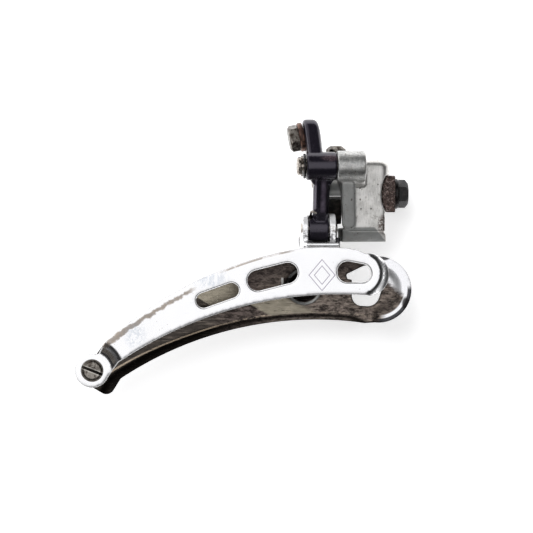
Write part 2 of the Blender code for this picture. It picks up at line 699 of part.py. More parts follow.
# Window corners: x, z, radius
OUTER_WINDOW = [(-16.3, -21.6, 3.4), (-4.4, -23.9, 3.2), (-4.9, -29.4, 2.8), (-15.7, -29.4, 3.2)]
INNER_WINDOW = [
    (-12.0, -27.2, 1.0), (-4.0, -23.3, 3.0), (0.9, -30.5, 4.0), (-1.6, -38.0, 4.0),
    (-9.9, -37.6, 3.5),
]
# Creases give the bends vertices to follow.
TAIL_CREASES = (6.1, 6.9, 7.7, 8.6, 9.5, 10.3)  # distance from the tail
OUTER_CREASES_X = (-7.0, -5.2, -3.6, -2.2, -0.9, 0.3, 1.4, 2.3)
OUTER_CREASES_Z = (-21.2, -22.4, -23.6, -25.2, -27.2, -29.2, -30.6, -31.8, -33.2)
INNER_CREASES_X = (-4.0, -2.0, 0.0, 2.0, 4.0, 5.5, 7.0, 8.2, 9.2)
INNER_CREASES_Z = (-22.2, -23.5, -25.2, -27.5, -30.5, -34.0, -37.0, -39.2, -41.0, -42.2)


def smooth(t):
    """Eases from 0 to 1."""
    t = min(1.0, max(0.0, t))
    return t * t * (3 - 2 * t)


def beyond(spec, x, z):
    """Distance outside a circle."""
    return math.hypot(x - spec[0], z - spec[1]) - spec[2]


def outer_bend(x, z):
    along_x, along_z = TAIL_DIRECTION
    along = (x - TAIL[0]) * along_x + (z - TAIL[1]) * along_z
    step = TAIL_STEP * (1 - smooth((along - TAIL_STEP_START) / TAIL_STEP_RUN))
    rise = smooth(beyond(OUTER_NOSE_FLAT, x, z) / 3.0) * smooth((x + 7.0) / 4.0)
    return step + OUTER_NOSE_CURL * rise


def inner_bend(x, z):
    rise = smooth((beyond(INNER_NOSE, x, z) + INNER_CURL_MARGIN) / 2.0)
    return -INNER_NOSE_CURL * rise * smooth((x + 4.0) / 4.0)


def nose_creases(from_x, stations_x, stations_z):
    """Crease planes: point, normal, and the x range of the faces they cut."""
    creases = [((x, 0, 0), FORWARD, from_x, 50) for x in stations_x]
    return creases + [((0, 0, z), UP, stations_x[0] - 0.05, 50) for z in stations_z]


def bent_sheet(name, loops, level, bend, creases, finish):
    """A flat blank with holes, creased along planes, then given its thickness and bent."""
    solid = bmesh.new()
    flat_faces(solid, loops, "Y", 0.0)
    for point, normal, from_x, to_x in creases:
        faces = [f for f in solid.faces if from_x < f.calc_center_median().x < to_x]
        geom = list({item for f in faces for item in (*f.verts, *f.edges)}) + faces
        bmesh.ops.bisect_plane(solid, geom=geom, dist=1e-4, plane_co=point, plane_no=normal)
    bmesh.ops.triangulate(solid, faces=solid.faces)
    for v in extrude(solid, list(solid.faces)):
        v.co.y += SHEET
    for v in solid.verts:
        v.co.y += level + bend(v.co.x, v.co.z)
    bmesh.ops.recalc_face_normals(solid, faces=solid.faces)
    return put(name, solid, finish, CAGE)


def outer_cage_plate():
    outline = (
        along_arc(OUTER_BOTTOM_ARC, -89.4, -6.5, 28) + arc(*OUTER_NOSE, -85, 97, 18)
        + OUTER_SHOULDER + along_arc(TOP_ARC, -26.8, -94.0, 24)
        + arc(*TAIL, TAIL_BOSS_R, 68, 338, 20)
    )
    holes = [slot(*spec) for spec in OUTER_SLOTS]
    holes += [rounded(OUTER_WINDOW), circle(*TAIL, TAIL_HOLE_R, 20)]
    (x, z), (along_x, along_z) = TAIL, TAIL_DIRECTION
    creases = [
        ((x + along_x * along, 0, z + along_z * along), (along_x, 0, along_z), -200, -80)
        for along in TAIL_CREASES
    ]
    creases += nose_creases(-9.0, OUTER_CREASES_X, OUTER_CREASES_Z)
    loops = [outline, *holes]
    bent_sheet("outer_cage_plate", loops, OUTER_PLATE_Y, outer_bend, creases, "chrome")


def inner_cage_plate():
    outline = (
        along_arc(INNER_BOTTOM_ARC, -88.0, -5.5, 28) + arc(*INNER_NOSE, -96, 94, 28)
        + INNER_SHOULDER + along_arc(INNER_TOP_ARC, -26.8, -94.0, 22)
        + arc(*TAIL, 5.0, 70, 236, 10) + arc(TAIL[0] + 5.4, TAIL[1] - 5.6, 2.9, 240, 330, 6)
    )
    holes = [rounded(INNER_WINDOW), circle(*TAIL, TAIL_HOLE_R, 20)]
    holes += [circle(x, RIVET_Z, RIVET_HOLE_R, 16) for x in RIVETS.values()]
    creases = nose_creases(-5.0, INNER_CREASES_X, INNER_CREASES_Z)
    loops = [outline, *holes]
    plate = bent_sheet(
        "inner_cage_plate", loops, INNER_PLATE_Y, inner_bend, creases, "worn_steel"
    )
    # Round dimple pressed inboard.
    x, z, radius = DISH
    face = INNER_PLATE_Y
    back, floor = face + SHEET + DISH_DEPTH, face + DISH_DEPTH
    outside = [(face + 0.6, 0), (face + 0.6, radius + 0.7), (back, radius - 0.9), (back, 0)]
    join(plate, turned(outside, (x, 0, z), INBOARD, 32), "inner_plate_dimple")
    inside = [(face - 0.8, 0), (face - 0.8, radius + 0.6), (face, radius),
              (floor, radius - 1.8), (floor, 0)]
    cut(plate, turned(inside, (x, 0, z), INBOARD, 32), "inner_plate_dimple_cutter")


# ---------------------------------------------------------------- tail hardware
TAIL_END_Y = -4.6  # inboard end of the screw and nut
TAIL_HEAD_R = 3.75
TAIL_SHANK_R = 1.9
TAIL_GAP = 0.25


def tail_hardware():
    x, z = TAIL
    face = OUTER_PLATE_Y + TAIL_STEP
    centre = (x, 0, z)
    profile = [
        (face - 2.1, 0), (face - 2.1, 3.0), (face - 1.6, TAIL_HEAD_R), (face - 0.2, TAIL_HEAD_R),
        (face - 0.2, TAIL_SHANK_R), (TAIL_END_Y, TAIL_SHANK_R), (TAIL_END_Y, 0),
    ]
    screw = put("tail_screw", turned(profile, centre, INBOARD), "steel", CAGE)
    groove = box((-5, -1.2, -0.42), (5, 1.2, 0.42))
    turn = Matrix.Rotation(math.radians(21.6), 4, "Y")
    matrix = Matrix.Translation((x, face - 2.3, z)) @ turn
    bmesh.ops.transform(groove, matrix=matrix, verts=groove.verts)
    cut(screw, groove, "tail_screw_slot_cutter")
    spacer = ring(
        face + SHEET + TAIL_GAP, INNER_PLATE_Y - TAIL_GAP, TAIL_HOLE_R, 3.2, centre, INBOARD
    )
    put("tail_spacer", spacer, "steel", CAGE)
    solid = prism(hexagon(7.0, x, z), "Y", INNER_PLATE_Y + SHEET + TAIL_GAP, TAIL_END_Y)
    nut = put("tail_nut", solid, "steel", CAGE)
    cut(nut, rod(-12, 0, TAIL_HOLE_R, centre, INBOARD), "tail_nut_hole_cutter")


# ---------------------------------------------------------------- build
for old in list(bpy.data.objects):
    bpy.data.objects.remove(old)

ROOT = empty("mount", (0, 0, 0))
LINK = empty("outer_link_pivot", at(OUTER_UPPER, PIVOT_EMPTY_X), ROOT)
CAGE = empty("cage_pivot", at(OUTER_LOWER, PIVOT_EMPTY_X), LINK)
INNER = empty("inner_link_pivot", at(INNER_UPPER, PIVOT_EMPTY_X), ROOT)

mount_body()
mount_hardware()
limit_screws()
outer_link()
cable_anchor()
inner_link()
pins()
return_spring()
cage_bracket()
rivets()
outer_cage_plate()
inner_cage_plate()
tail_hardware()
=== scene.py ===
"""Looks of the front derailleur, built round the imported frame.

Meshes are laid out in millimetres from the deepest point of the mounting saddle, on the bolt's axis,
then moved to the row's origin (the bolt head's front face) and turned into metres.
"""

import json
import math

import bmesh
import bpy
import numpy as np
from mathutils import Matrix, Vector
from mathutils.geometry import delaunay_2d_cdt


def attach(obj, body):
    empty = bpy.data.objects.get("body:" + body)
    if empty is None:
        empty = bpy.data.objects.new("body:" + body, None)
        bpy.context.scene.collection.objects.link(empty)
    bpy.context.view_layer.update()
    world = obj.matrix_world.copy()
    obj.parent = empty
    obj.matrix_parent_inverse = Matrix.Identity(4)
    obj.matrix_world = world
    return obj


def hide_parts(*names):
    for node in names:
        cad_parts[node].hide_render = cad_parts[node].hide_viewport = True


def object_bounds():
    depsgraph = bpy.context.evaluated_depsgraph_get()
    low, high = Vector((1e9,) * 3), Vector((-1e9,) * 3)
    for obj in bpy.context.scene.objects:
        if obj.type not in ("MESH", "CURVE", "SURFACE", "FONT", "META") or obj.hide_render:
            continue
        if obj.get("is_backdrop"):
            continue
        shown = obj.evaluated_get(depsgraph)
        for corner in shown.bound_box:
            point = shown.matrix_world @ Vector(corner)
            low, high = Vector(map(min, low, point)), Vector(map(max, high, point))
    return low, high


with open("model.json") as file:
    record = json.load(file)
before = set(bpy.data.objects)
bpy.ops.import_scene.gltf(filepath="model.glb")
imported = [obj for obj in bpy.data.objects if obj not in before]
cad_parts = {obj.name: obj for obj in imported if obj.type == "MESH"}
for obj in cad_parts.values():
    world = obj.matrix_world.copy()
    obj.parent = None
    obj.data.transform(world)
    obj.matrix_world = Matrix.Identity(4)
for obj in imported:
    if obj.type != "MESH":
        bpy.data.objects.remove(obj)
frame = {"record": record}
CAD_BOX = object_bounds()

MM = 0.001
ORIGIN = Vector((9.9, 0.0, 0.0))

# The joints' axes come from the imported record, in this script's millimetres, as (Y, Z).
JOINTS = {j["name"]: j for j in frame["record"]["behaviour"]["joints"]}


def pivot(joint):
    x, y, z = JOINTS[joint]["pos_m"]
    return (y / MM, z / MM)


OUTER_UPPER = pivot("outer_link_swing")
OUTER_LOWER = pivot("cage_level")
INNER_UPPER = pivot("inner_link_swing")
INNER_LOWER = (OUTER_LOWER[0] + INNER_UPPER[0] - OUTER_UPPER[0], OUTER_LOWER[1] + INNER_UPPER[1] - OUTER_UPPER[1])

SHEET = 1.2
OUTER_PLATE_Y = -20.4
INNER_PLATE_Y = -8.2
TOP_ARC = (-8.5, -144.9, 128.5)
OUTER_BOTTOM_ARC = (-15.6, -165.6, 132.2)
INNER_BOTTOM_ARC = (-22.4, -161.7, 119.3)
INNER_TOP_DROP = 1.6
OUTER_NOSE = (-5.6, -26.9, 7.2)
OUTER_NOSE_FLAT = (-8.3, -26.4, 6.7)
OUTER_NOSE_CURL = 2.2
INNER_NOSE = (-1.0, -32.2, 11.2)
INNER_NOSE_CURL = 1.3
DISH = (-26.1, -31.2, 6.1)
DISH_DEPTH = 1.5
TAIL = (-98.2, -58.8)
TAIL_BOSS_R = 5.8
TAIL_STEP = 3.2
TAIL_DIRECTION = (0.83, 0.555)
CABLE_ANCHOR = (-25.7, -4.5, 19.45)
SADDLE_R = 13.2
SADDLE_HALF = 6.3
LIMIT_SCREW_X = -14.6
LIMIT_SCREWS = {"high_limit_screw": -4.4, "low_limit_screw": 2.6}
RIVETS = {"bracket_rivet_rear": -22.8, "bracket_rivet_front": -17.8}
RIVET_Z = -22.6
EAR_LEFT_X = (-26.5, -24.7)
EAR_RIGHT_X = (-17.4, -15.3)
BASE_Z = (-17.3, -16.2)


# ---------------------------------------------------------------- outlines
def arc(cx, cy, r, start, end, steps):
    turn = [math.radians(start + (end - start) * i / steps) for i in range(steps + 1)]
    return [(cx + r * math.cos(a), cy + r * math.sin(a)) for a in turn]


def circle(cx, cy, r, steps=64):
    return arc(cx, cy, r, 0, 360 * (steps - 1) / steps, steps - 1)


def on_arc(spec, x):
    cx, cz, r = spec
    return cz + math.sqrt(max(0.0, r * r - (x - cx) ** 2))


def along_arc(spec, x0, x1, steps):
    return [(x0 + (x1 - x0) * i / steps, on_arc(spec, x0 + (x1 - x0) * i / steps)) for i in range(steps + 1)]


def rounded(corners, steps=8):
    out = []
    n = len(corners)
    for i, (x, y, r) in enumerate(corners):
        here = Vector((x, y))
        before = (Vector(corners[i - 1][:2]) - here).normalized()
        after = (Vector(corners[(i + 1) % n][:2]) - here).normalized()
        if r <= 0:
            out.append((x, y))
            continue
        half = before.angle(after) / 2
        reach = r / math.tan(half)
        middle = (before + after).normalized()
        centre = here + middle * (r / math.sin(half))
        a, b = here + before * reach - centre, here + after * reach - centre
        a0 = math.atan2(a.y, a.x)
        turn = (math.atan2(b.y, b.x) - a0 + math.pi) % (2 * math.pi) - math.pi
        for k in range(steps + 1):
            angle = a0 + turn * k / steps
            out.append((centre.x + r * math.cos(angle), centre.y + r * math.sin(angle)))
    return out


def slot(cx, cy, length, height, tilt, steps=16):
    half, r = (length - height) / 2, height / 2
    flat = arc(half, 0, r, -90, 90, steps) + arc(-half, 0, r, 90, 270, steps)
    c, s = math.cos(math.radians(tilt)), math.sin(math.radians(tilt))
    return [(cx + x * c - y * s, cy + x * s + y * c) for x, y in flat]


def two_circles(a, ra, b, rb, steps=24):
    a, b = Vector(a), Vector(b)
    line = b - a
    base = math.degrees(math.atan2(line.y, line.x))
    lean = math.degrees(math.acos((ra - rb) / line.length))
    return arc(a.x, a.y, ra, base + lean, base + 360 - lean, steps) + arc(b.x, b.y, rb, base - lean, base + lean, steps)


def discs(x0, x1, y, z, radius, soft, lean=0.0, steps=64):
    """Points of a disc standing across X whose two rims are rounded, for a hull."""
    out = []
    for k in range(7):
        a = math.radians(15 * k)
        in_x, r = soft * (1 - math.cos(a)), radius - soft * (1 - math.sin(a))
        for x in (x0 + in_x, x1 - in_x):
            out += [(x + lean * (v - z), u, v) for u, v in circle(y, z, r, steps)]
    return out


def hexagon(across, u=0.0, v=0.0, turn=0.0):
    r = across / 2 / math.cos(math.pi / 6)
    return [(u + r * math.cos(math.radians(turn + 60 * i)), v + r * math.sin(math.radians(turn + 60 * i))) for i in range(6)]


def smooth(t):
    t = min(1.0, max(0.0, t))
    return t * t * (3 - 2 * t)


def at(p, x=0.0):
    return (x, p[0], p[1])


# ---------------------------------------------------------------- solids, in millimetres
def lift(axis, u, v, t):
    return {"X": (t, u, v), "Y": (u, t, v), "Z": (u, v, t)}[axis]


def prism(outline, axis, low, high, holes=()):
    bm = bmesh.new()
    edges = []
    for loop in (outline, *holes):
        verts = [bm.verts.new(lift(axis, u, v, low)) for u, v in loop]
        edges += [bm.edges.new((verts[i - 1], verts[i])) for i in range(len(verts))]
    normal = {"X": (1, 0, 0), "Y": (0, 1, 0), "Z": (0, 0, 1)}[axis]
    if holes:
        bmesh.ops.triangle_fill(bm, use_beauty=True, edges=edges, normal=normal)
    else:
        bm.faces.new(bm.verts)
    moved = bmesh.ops.extrude_face_region(bm, geom=list(bm.faces))["geom"]
    verts = [g for g in moved if isinstance(g, bmesh.types.BMVert)]
    bmesh.ops.translate(bm, verts=verts, vec=Vector(lift(axis, 0, 0, high - low)))
    bmesh.ops.recalc_face_normals(bm, faces=bm.faces)
    return bm


def hull(points):
    bm = bmesh.new()
    verts = [bm.verts.new(p) for p in points]
    bmesh.ops.convex_hull(bm, input=verts)
    bmesh.ops.delete(bm, geom=[v for v in bm.verts if not v.link_faces], context="VERTS")
    bmesh.ops.dissolve_limit(bm, angle_limit=math.radians(0.5), verts=bm.verts, edges=bm.edges)
    bmesh.ops.recalc_face_normals(bm, faces=bm.faces)
    return bm


def box(low, high):
    return hull([(x, y, z) for x in (low[0], high[0]) for y in (low[1], high[1]) for z in (low[2], high[2])])


def turned(profile, centre=(0, 0, 0), direction=(1, 0, 0), steps=72, rings=False):
    """A closed profile of (along, radius) points spun round an axis; points at radius 0 are poles."""
    bm = bmesh.new()
    rows = []
    for k in range(steps):
        a = 2 * math.pi * k / steps
        rows.append((math.cos(a), math.sin(a)))
    columns = []
    for t, r in profile:
        if r < 1e-6:
            columns.append([bm.verts.new((t, 0, 0))])
        else:
            columns.append([bm.verts.new((t, r * c, r * s)) for c, s in rows])
    n = len(columns)
    for i in range(n):
        a, b = columns[i - 1], columns[i]
        if len(a) == 1 and len(b) == 1:
            continue
        for k in range(steps):
            j = (k + 1) % steps
            if len(a) == 1:
                bm.faces.new((a[0], b[k], b[j]))
            elif len(b) == 1:
                bm.faces.new((a[k], b[0], a[j]))
            else:
                bm.faces.new((a[k], b[k], b[j], a[j]))
    bmesh.ops.remove_doubles(bm, verts=bm.verts, dist=1e-5)
    bmesh.ops.dissolve_degenerate(bm, dist=1e-6, edges=bm.edges)
    bmesh.ops.recalc_face_normals(bm, faces=bm.faces)
    if bm.calc_volume(signed=True) < 0:
        bmesh.ops.reverse_faces(bm, faces=bm.faces)
    turn = Vector((1, 0, 0)).rotation_difference(Vector(direction)).to_matrix().to_4x4()
    bmesh.ops.transform(bm, matrix=Matrix.Translation(Vector(centre)) @ turn, verts=bm.verts)
    return bm


def rod(t0, t1, r, centre=(0, 0, 0), direction=(1, 0, 0), edge=0.0, steps=72):
    if edge:
        profile = [(t0, 0)] + [p for p in rounded([(t0, -1, 0), (t0, r, edge), (t1, r, edge), (t1, -1, 0)], 5) if p[1] > 0]
        profile += [(t1, 0)]
    else:
        profile = [(t0, 0), (t0, r), (t1, r), (t1, 0)]
    return turned(profile, centre, direction, steps)


def ring(t0, t1, inner, outer, centre=(0, 0, 0), direction=(1, 0, 0), edge=0.15, steps=72):
    return turned(rounded([(t0, inner, edge), (t0, outer, edge), (t1, outer, edge), (t1, inner, edge)], 4), centre, direction, steps)


def tube(path, radius, sides=16):
    bm = bmesh.new()
    points = [Vector(p) for p in path]
    tangents = [(points[min(i + 1, len(points) - 1)] - points[max(i - 1, 0)]).normalized() for i in range(len(points))]
    side = tangents[0].orthogonal().normalized()
    rings = []
    for i, (p, t) in enumerate(zip(points, tangents)):
        if i:
            side = tangents[i - 1].rotation_difference(t) @ side
        side = (side - t * side.dot(t)).normalized()
        other = t.cross(side)
        rings.append([bm.verts.new(p + radius * (side * math.cos(a) + other * math.sin(a)))
                      for a in (2 * math.pi * k / sides for k in range(sides))])
    for a, b in zip(rings, rings[1:]):
        for k in range(sides):
            bm.faces.new((a[k - 1], a[k], b[k], b[k - 1]))
    for end, way in ((rings[0], -1), (rings[-1], 1)):
        t = tangents[0] if way < 0 else tangents[-1]
        centre = sum((v.co for v in end), Vector()) / sides
        last = end
        for inset, out in ((0.8, 0.45), (0.4, 0.75)):
            fresh = [bm.verts.new(centre + (v.co - centre) * inset + t * way * radius * out * 0.6) for v in end]
            for k in range(sides):
                bm.faces.new((last[k - 1], last[k], fresh[k], fresh[k - 1]))
            last = fresh
        bm.faces.new(last)
    bmesh.ops.recalc_face_normals(bm, faces=bm.faces)
    return bm


# ---------------------------------------------------------------- from bmesh to finished mesh
def temp(bm, name="temp"):
    mesh = bpy.data.meshes.new(name)
    bm.to_mesh(mesh)
    bm.free()
    obj = bpy.data.objects.new(name, mesh)
    bpy.context.scene.collection.objects.link(obj)
    return obj


def applied(obj):
    """The object's mesh with its modifiers applied, as a bmesh; the object is removed."""
    bpy.context.view_layer.update()
    graph = bpy.context.evaluated_depsgraph_get()
    mesh = bpy.data.meshes.new_from_object(obj.evaluated_get(graph), depsgraph=graph)
    bm = bmesh.new()
    bm.from_mesh(mesh)
    bpy.data.meshes.remove(mesh)
    old = obj.data
    bpy.data.objects.remove(obj)
    bpy.data.meshes.remove(old)
    return bm


def bevelled(bm, width, segments=3, angle=30):
    obj = temp(bm)
    step = obj.modifiers.new("bevel", "BEVEL")
    step.width, step.segments = width, segments
    step.limit_method, step.angle_limit = "ANGLE", math.radians(angle)
    step.use_clamp_overlap = True
    return applied(obj)


def carved(bm, cutters, kind="DIFFERENCE", solver="EXACT"):
    obj = temp(bm)
    others = [temp(c, "cutter") for c in cutters]
    for other in others:
        step = obj.modifiers.new("carve", "BOOLEAN")
        step.operation, step.solver, step.object = kind, solver, other
    out = applied(obj)
    for other in others:
        old = other.data
        bpy.data.objects.remove(other)
        bpy.data.meshes.remove(old)
    return out


def fused(parts, voxel=0.2, rounds=6, factor=0.5):
    """Overlapping solids made into one skin with soft inner corners, as a casting or forging has."""
    joined = bmesh.new()
    for part in parts:
        mesh = bpy.data.meshes.new("part")
        part.to_mesh(mesh)
        part.free()
        joined.from_mesh(mesh)
        bpy.data.meshes.remove(mesh)
    obj = temp(joined)
    step = obj.modifiers.new("skin", "REMESH")
    step.mode, step.voxel_size, step.use_smooth_shade = "VOXEL", voxel, True
    ease = obj.modifiers.new("ease", "SMOOTH")
    ease.factor, ease.iterations = factor, rounds
    return applied(obj)


def remeshed(bm, voxel=0.2, rounds=4, factor=0.5):
    return fused([bm], voxel, rounds, factor)


def casting(parts, cutters, voxel=0.2, rounds=5, factor=0.5):
    """Solids fused to one skin, cut, and skinned again so that every edge is soft."""
    return remeshed(carved(fused(parts, voxel, 0), cutters), voxel, rounds, factor)


def piece(name, bm, body, node, finish, sharp=35, flat_attributes=None):
    """A finished piece from a bmesh in millimetres: it rides on a body and stands for a CAD node."""
    for v in bm.verts:
        v.co = (v.co - ORIGIN) * MM
    mesh = bpy.data.meshes.new(name)
    bm.to_mesh(mesh)
    bm.free()
    mesh.shade_smooth()
    if sharp:
        mesh.set_sharp_from_angle(angle=math.radians(sharp))
    mesh.materials.append(finish)
    obj = bpy.data.objects.new(name, mesh)
    bpy.context.scene.collection.objects.link(obj)
    for key, values in (flat_attributes or {}).items():
        layer = mesh.attributes.new(key, "FLOAT", "POINT")
        layer.data.foreach_set("value", np.asarray(values, np.float32))
    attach(obj, body)
    if node:
        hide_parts(node)
    return obj


# ---------------------------------------------------------------- sheet metal
def resampled(loop, step):
    out = []
    n = len(loop)
    for i in range(n):
        a, b = Vector(loop[i]), Vector(loop[(i + 1) % n])
        count = max(1, int(math.ceil((b - a).length / step)))
        out += [tuple(a.lerp(b, k / count)) for k in range(count)]
    return out


def inside(points, loop):
    x, y = points[:, 0], points[:, 1]
    hit = np.zeros(len(points), bool)
    ring_ = np.asarray(loop)
    for (x0, y0), (x1, y1) in zip(ring_, np.roll(ring_, -1, axis=0)):
        cross = (y0 > y) != (y1 > y)
        if y1 != y0:
            hit ^= cross & (x < (x1 - x0) * (y - y0) / (y1 - y0) + x0)
    return hit


def distance_to(points, loop, closed=True):
    """Shortest way from each point to a polyline, in the plane."""
    ring_ = np.asarray(loop)
    ends = np.roll(ring_, -1, axis=0) if closed else ring_[1:]
    starts = ring_ if closed else ring_[:-1]
    best = np.full(len(points), 1e9)
    for a, b in zip(starts, ends):
        line = b - a
        size = float(line @ line) or 1e-12
        t = np.clip(((points - a) @ line) / size, 0, 1)
        best = np.minimum(best, np.hypot(*(points - a - t[:, None] * line).T))
    return best


def widened(loop, by):
    """A hole's loop moved out into the sheet."""
    n = len(loop)
    middle = Vector((sum(p[0] for p in loop) / n, sum(p[1] for p in loop) / n))
    out = []
    for i in range(n):
        a, b = Vector(loop[i - 1]), Vector(loop[(i + 1) % n])
        side = Vector((b.y - a.y, a.x - b.x)).normalized()
        p = Vector(loop[i])
        if side.dot(p - middle) < 0:
            side.negate()
        out.append(tuple(p + side * by))
    return out


def sheet_blank(outline, holes, spacing, rim, sunk=0.0):
    """Flat blank in the X-Z plane, 0 to SHEET deep in Y, densely meshed, its rims rounded."""
    loops = [resampled(loop, rim) for loop in (outline, *holes)]
    flat = np.array(outline)
    low, high = flat.min(axis=0), flat.max(axis=0)
    grid = []
    row = 0
    z = low[1]
    while z < high[1]:
        x = low[0] + (spacing / 2 if row % 2 else 0)
        while x < high[0]:
            grid.append((x, z))
            x += spacing
        z += spacing * 0.866
        row += 1
    grid = np.array(grid)
    keep = inside(grid, loops[0])
    for loop in loops[1:]:
        keep &= ~inside(grid, loop)
    grid = grid[keep]
    near = np.min([distance_to(grid, loop) for loop in loops], axis=0)
    grid = grid[near > 0.75 + sunk]
    steps = [widened(loop, sunk) for loop in loops[1:-1]] if sunk else []
    points, edges = [], []
    for loop in loops + steps:
        first = len(points)
        points += [Vector(p) for p in loop]
        edges += [(first + i, first + (i + 1) % len(loop)) for i in range(len(loop))]
    points += [Vector(p) for p in grid.tolist()]
    verts, _, faces, *_ = delaunay_2d_cdt(points, edges, [], 0, 1e-6)
    middle = np.array([[sum(verts[i].x for i in f) / 3, sum(verts[i].y for i in f) / 3] for f in faces])
    keep = inside(middle, loops[0])
    for loop in loops[1:]:
        keep &= ~inside(middle, loop)
    bm = bmesh.new()
    made = [bm.verts.new((v.x, 0.0, v.y)) for v in verts]
    for f, ok in zip(faces, keep):
        if ok:
            bm.faces.new([made[i] for i in f])
    bmesh.ops.delete(bm, geom=[v for v in bm.verts if not v.link_faces], context="VERTS")
    moved = bmesh.ops.extrude_face_region(bm, geom=list(bm.faces))["geom"]
    for g in moved:
        if isinstance(g, bmesh.types.BMVert):
            g.co.y += SHEET
    bmesh.ops.recalc_face_normals(bm, faces=bm.faces)
    if sunk:
        flat_ = np.array([(v.co.x, v.co.z) for v in bm.verts])
        rims = np.min([distance_to(flat_, loop) for loop in loops[1:-1]], axis=0)
        for v, d in zip(bm.verts, rims):
            if v.co.y < SHEET / 2 and d < 0.01:
                v.co.y += 1.15 * sunk
        return bevelled(bm, 0.12, 2, 30), loops
    return bevelled(bm, 0.3, 3, 40), loops


def bent_piece(name, outline, holes, level, bend, body, node, finish, tops, rim=0.55, spacing=0.8, sunk=0.0):
    bm, loops = sheet_blank(outline, holes, spacing, rim, sunk)
    flat = np.array([(v.co.x, v.co.z) for v in bm.verts])
    edge = np.min([distance_to(flat, loop) for loop in loops], axis=0)
    top = distance_to(flat, tops, closed=False)
    front = [1.0 if v.co.y < SHEET * 0.6 else 0.0 for v in bm.verts]
    for v in bm.verts:
        v.co.y += level + bend(v.co.x, v.co.z)
    return piece(name, bm, body, node, finish, sharp=50, flat_attributes={"edge_mm": edge, "top_mm": top, "front_side": front})


def outer_bend(x, z):
    s = math.hypot(x - TAIL[0], z - TAIL[1])
    step = TAIL_STEP * (1 - smooth((s - 6.1) / 4.6))
    cx, cz, r = OUTER_NOSE_FLAT
    curl = OUTER_NOSE_CURL * smooth((math.hypot(x - cx, z - cz) - r) / 3.0) * smooth((x + 7.0) / 4.0)
    return step + curl


def inner_bend(x, z):
    cx, cz, r = INNER_NOSE
    flare = -INNER_NOSE_CURL * smooth((math.hypot(x - cx, z - cz) - r + 5.4) / 2.0) * smooth((x + 4.0) / 4.0)
    flare += DISH_DEPTH * (1 - smooth((math.hypot(x - DISH[0], z - DISH[1]) - DISH[2] + 1.8) / 1.8))
    bx, bz, br = INNER_BOTTOM_ARC
    above = math.hypot(x - bx, z - bz) - br
    fade = (1 - smooth((x + 12.0) / 8.0)) * smooth((x + 97.0) / 8.0)
    wide = 2.0 + 1.6 * smooth((-x - 30.0) / 40.0)
    return flare + 1.5 * fade * (1 - smooth(above / wide * 0.5 + 0.5)) * 2


def plates():
    outline = along_arc(OUTER_BOTTOM_ARC, -89.4, -6.5, 140)
    outline += arc(*OUTER_NOSE, -85, 97, 48)
    outline += [(-9.0, -18.6), (-12.0, -18.0), (-16.0, -17.65), (-21.0, -17.6)]
    top = along_arc(TOP_ARC, -26.8, -94.0, 120)
    outline += top + arc(*TAIL, TAIL_BOSS_R, 68, 338, 64)
    holes = [
        slot(-56.3, -33.7, 14.9, 5.0, 19.5),
        slot(-37.8, -27.5, 17.2, 6.9, 14.0),
        rounded([(-16.3, -21.6, 3.4), (-4.4, -23.9, 3.2), (-4.9, -29.4, 2.8), (-15.7, -29.4, 3.2)], 12),
        circle(*TAIL, 2.2, 40),
    ]
    bent_piece("outer_cage_plate_skin", outline, holes, OUTER_PLATE_Y, outer_bend, "cage", "outer_cage_plate",
               FINISH["chrome"], top, sunk=0.42)

    rise = (TOP_ARC[0], TOP_ARC[1] - INNER_TOP_DROP, TOP_ARC[2])
    outline = along_arc(INNER_BOTTOM_ARC, -88.0, -5.5, 140)
    outline += arc(*INNER_NOSE, -96, 94, 72)
    outline += [(-6.0, -20.4), (-12.0, -19.6), (-19.0, -19.2)]
    top = along_arc(rise, -26.8, -94.0, 120)
    outline += top + arc(*TAIL, 5.0, 70, 236, 32) + arc(TAIL[0] + 5.4, TAIL[1] - 5.6, 2.9, 240, 330, 16)
    holes = [
        rounded([(-11.9, -27.1, 0.8), (-4.0, -23.3, 3.0), (0.9, -30.5, 4.0), (-1.6, -38.0, 4.0), (-9.9, -37.6, 3.5), (-9.9, -28.9, 0.4), (-11.4, -28.6, 0.3)], 12),
        circle(*TAIL, 2.2, 40),
    ] + [circle(x, RIVET_Z, 1.6, 32) for x in RIVETS.values()]
    bent_piece("inner_cage_plate_skin", outline, holes, INNER_PLATE_Y, inner_bend, "cage", "inner_cage_plate",
               FINISH["worn_chrome"], top)


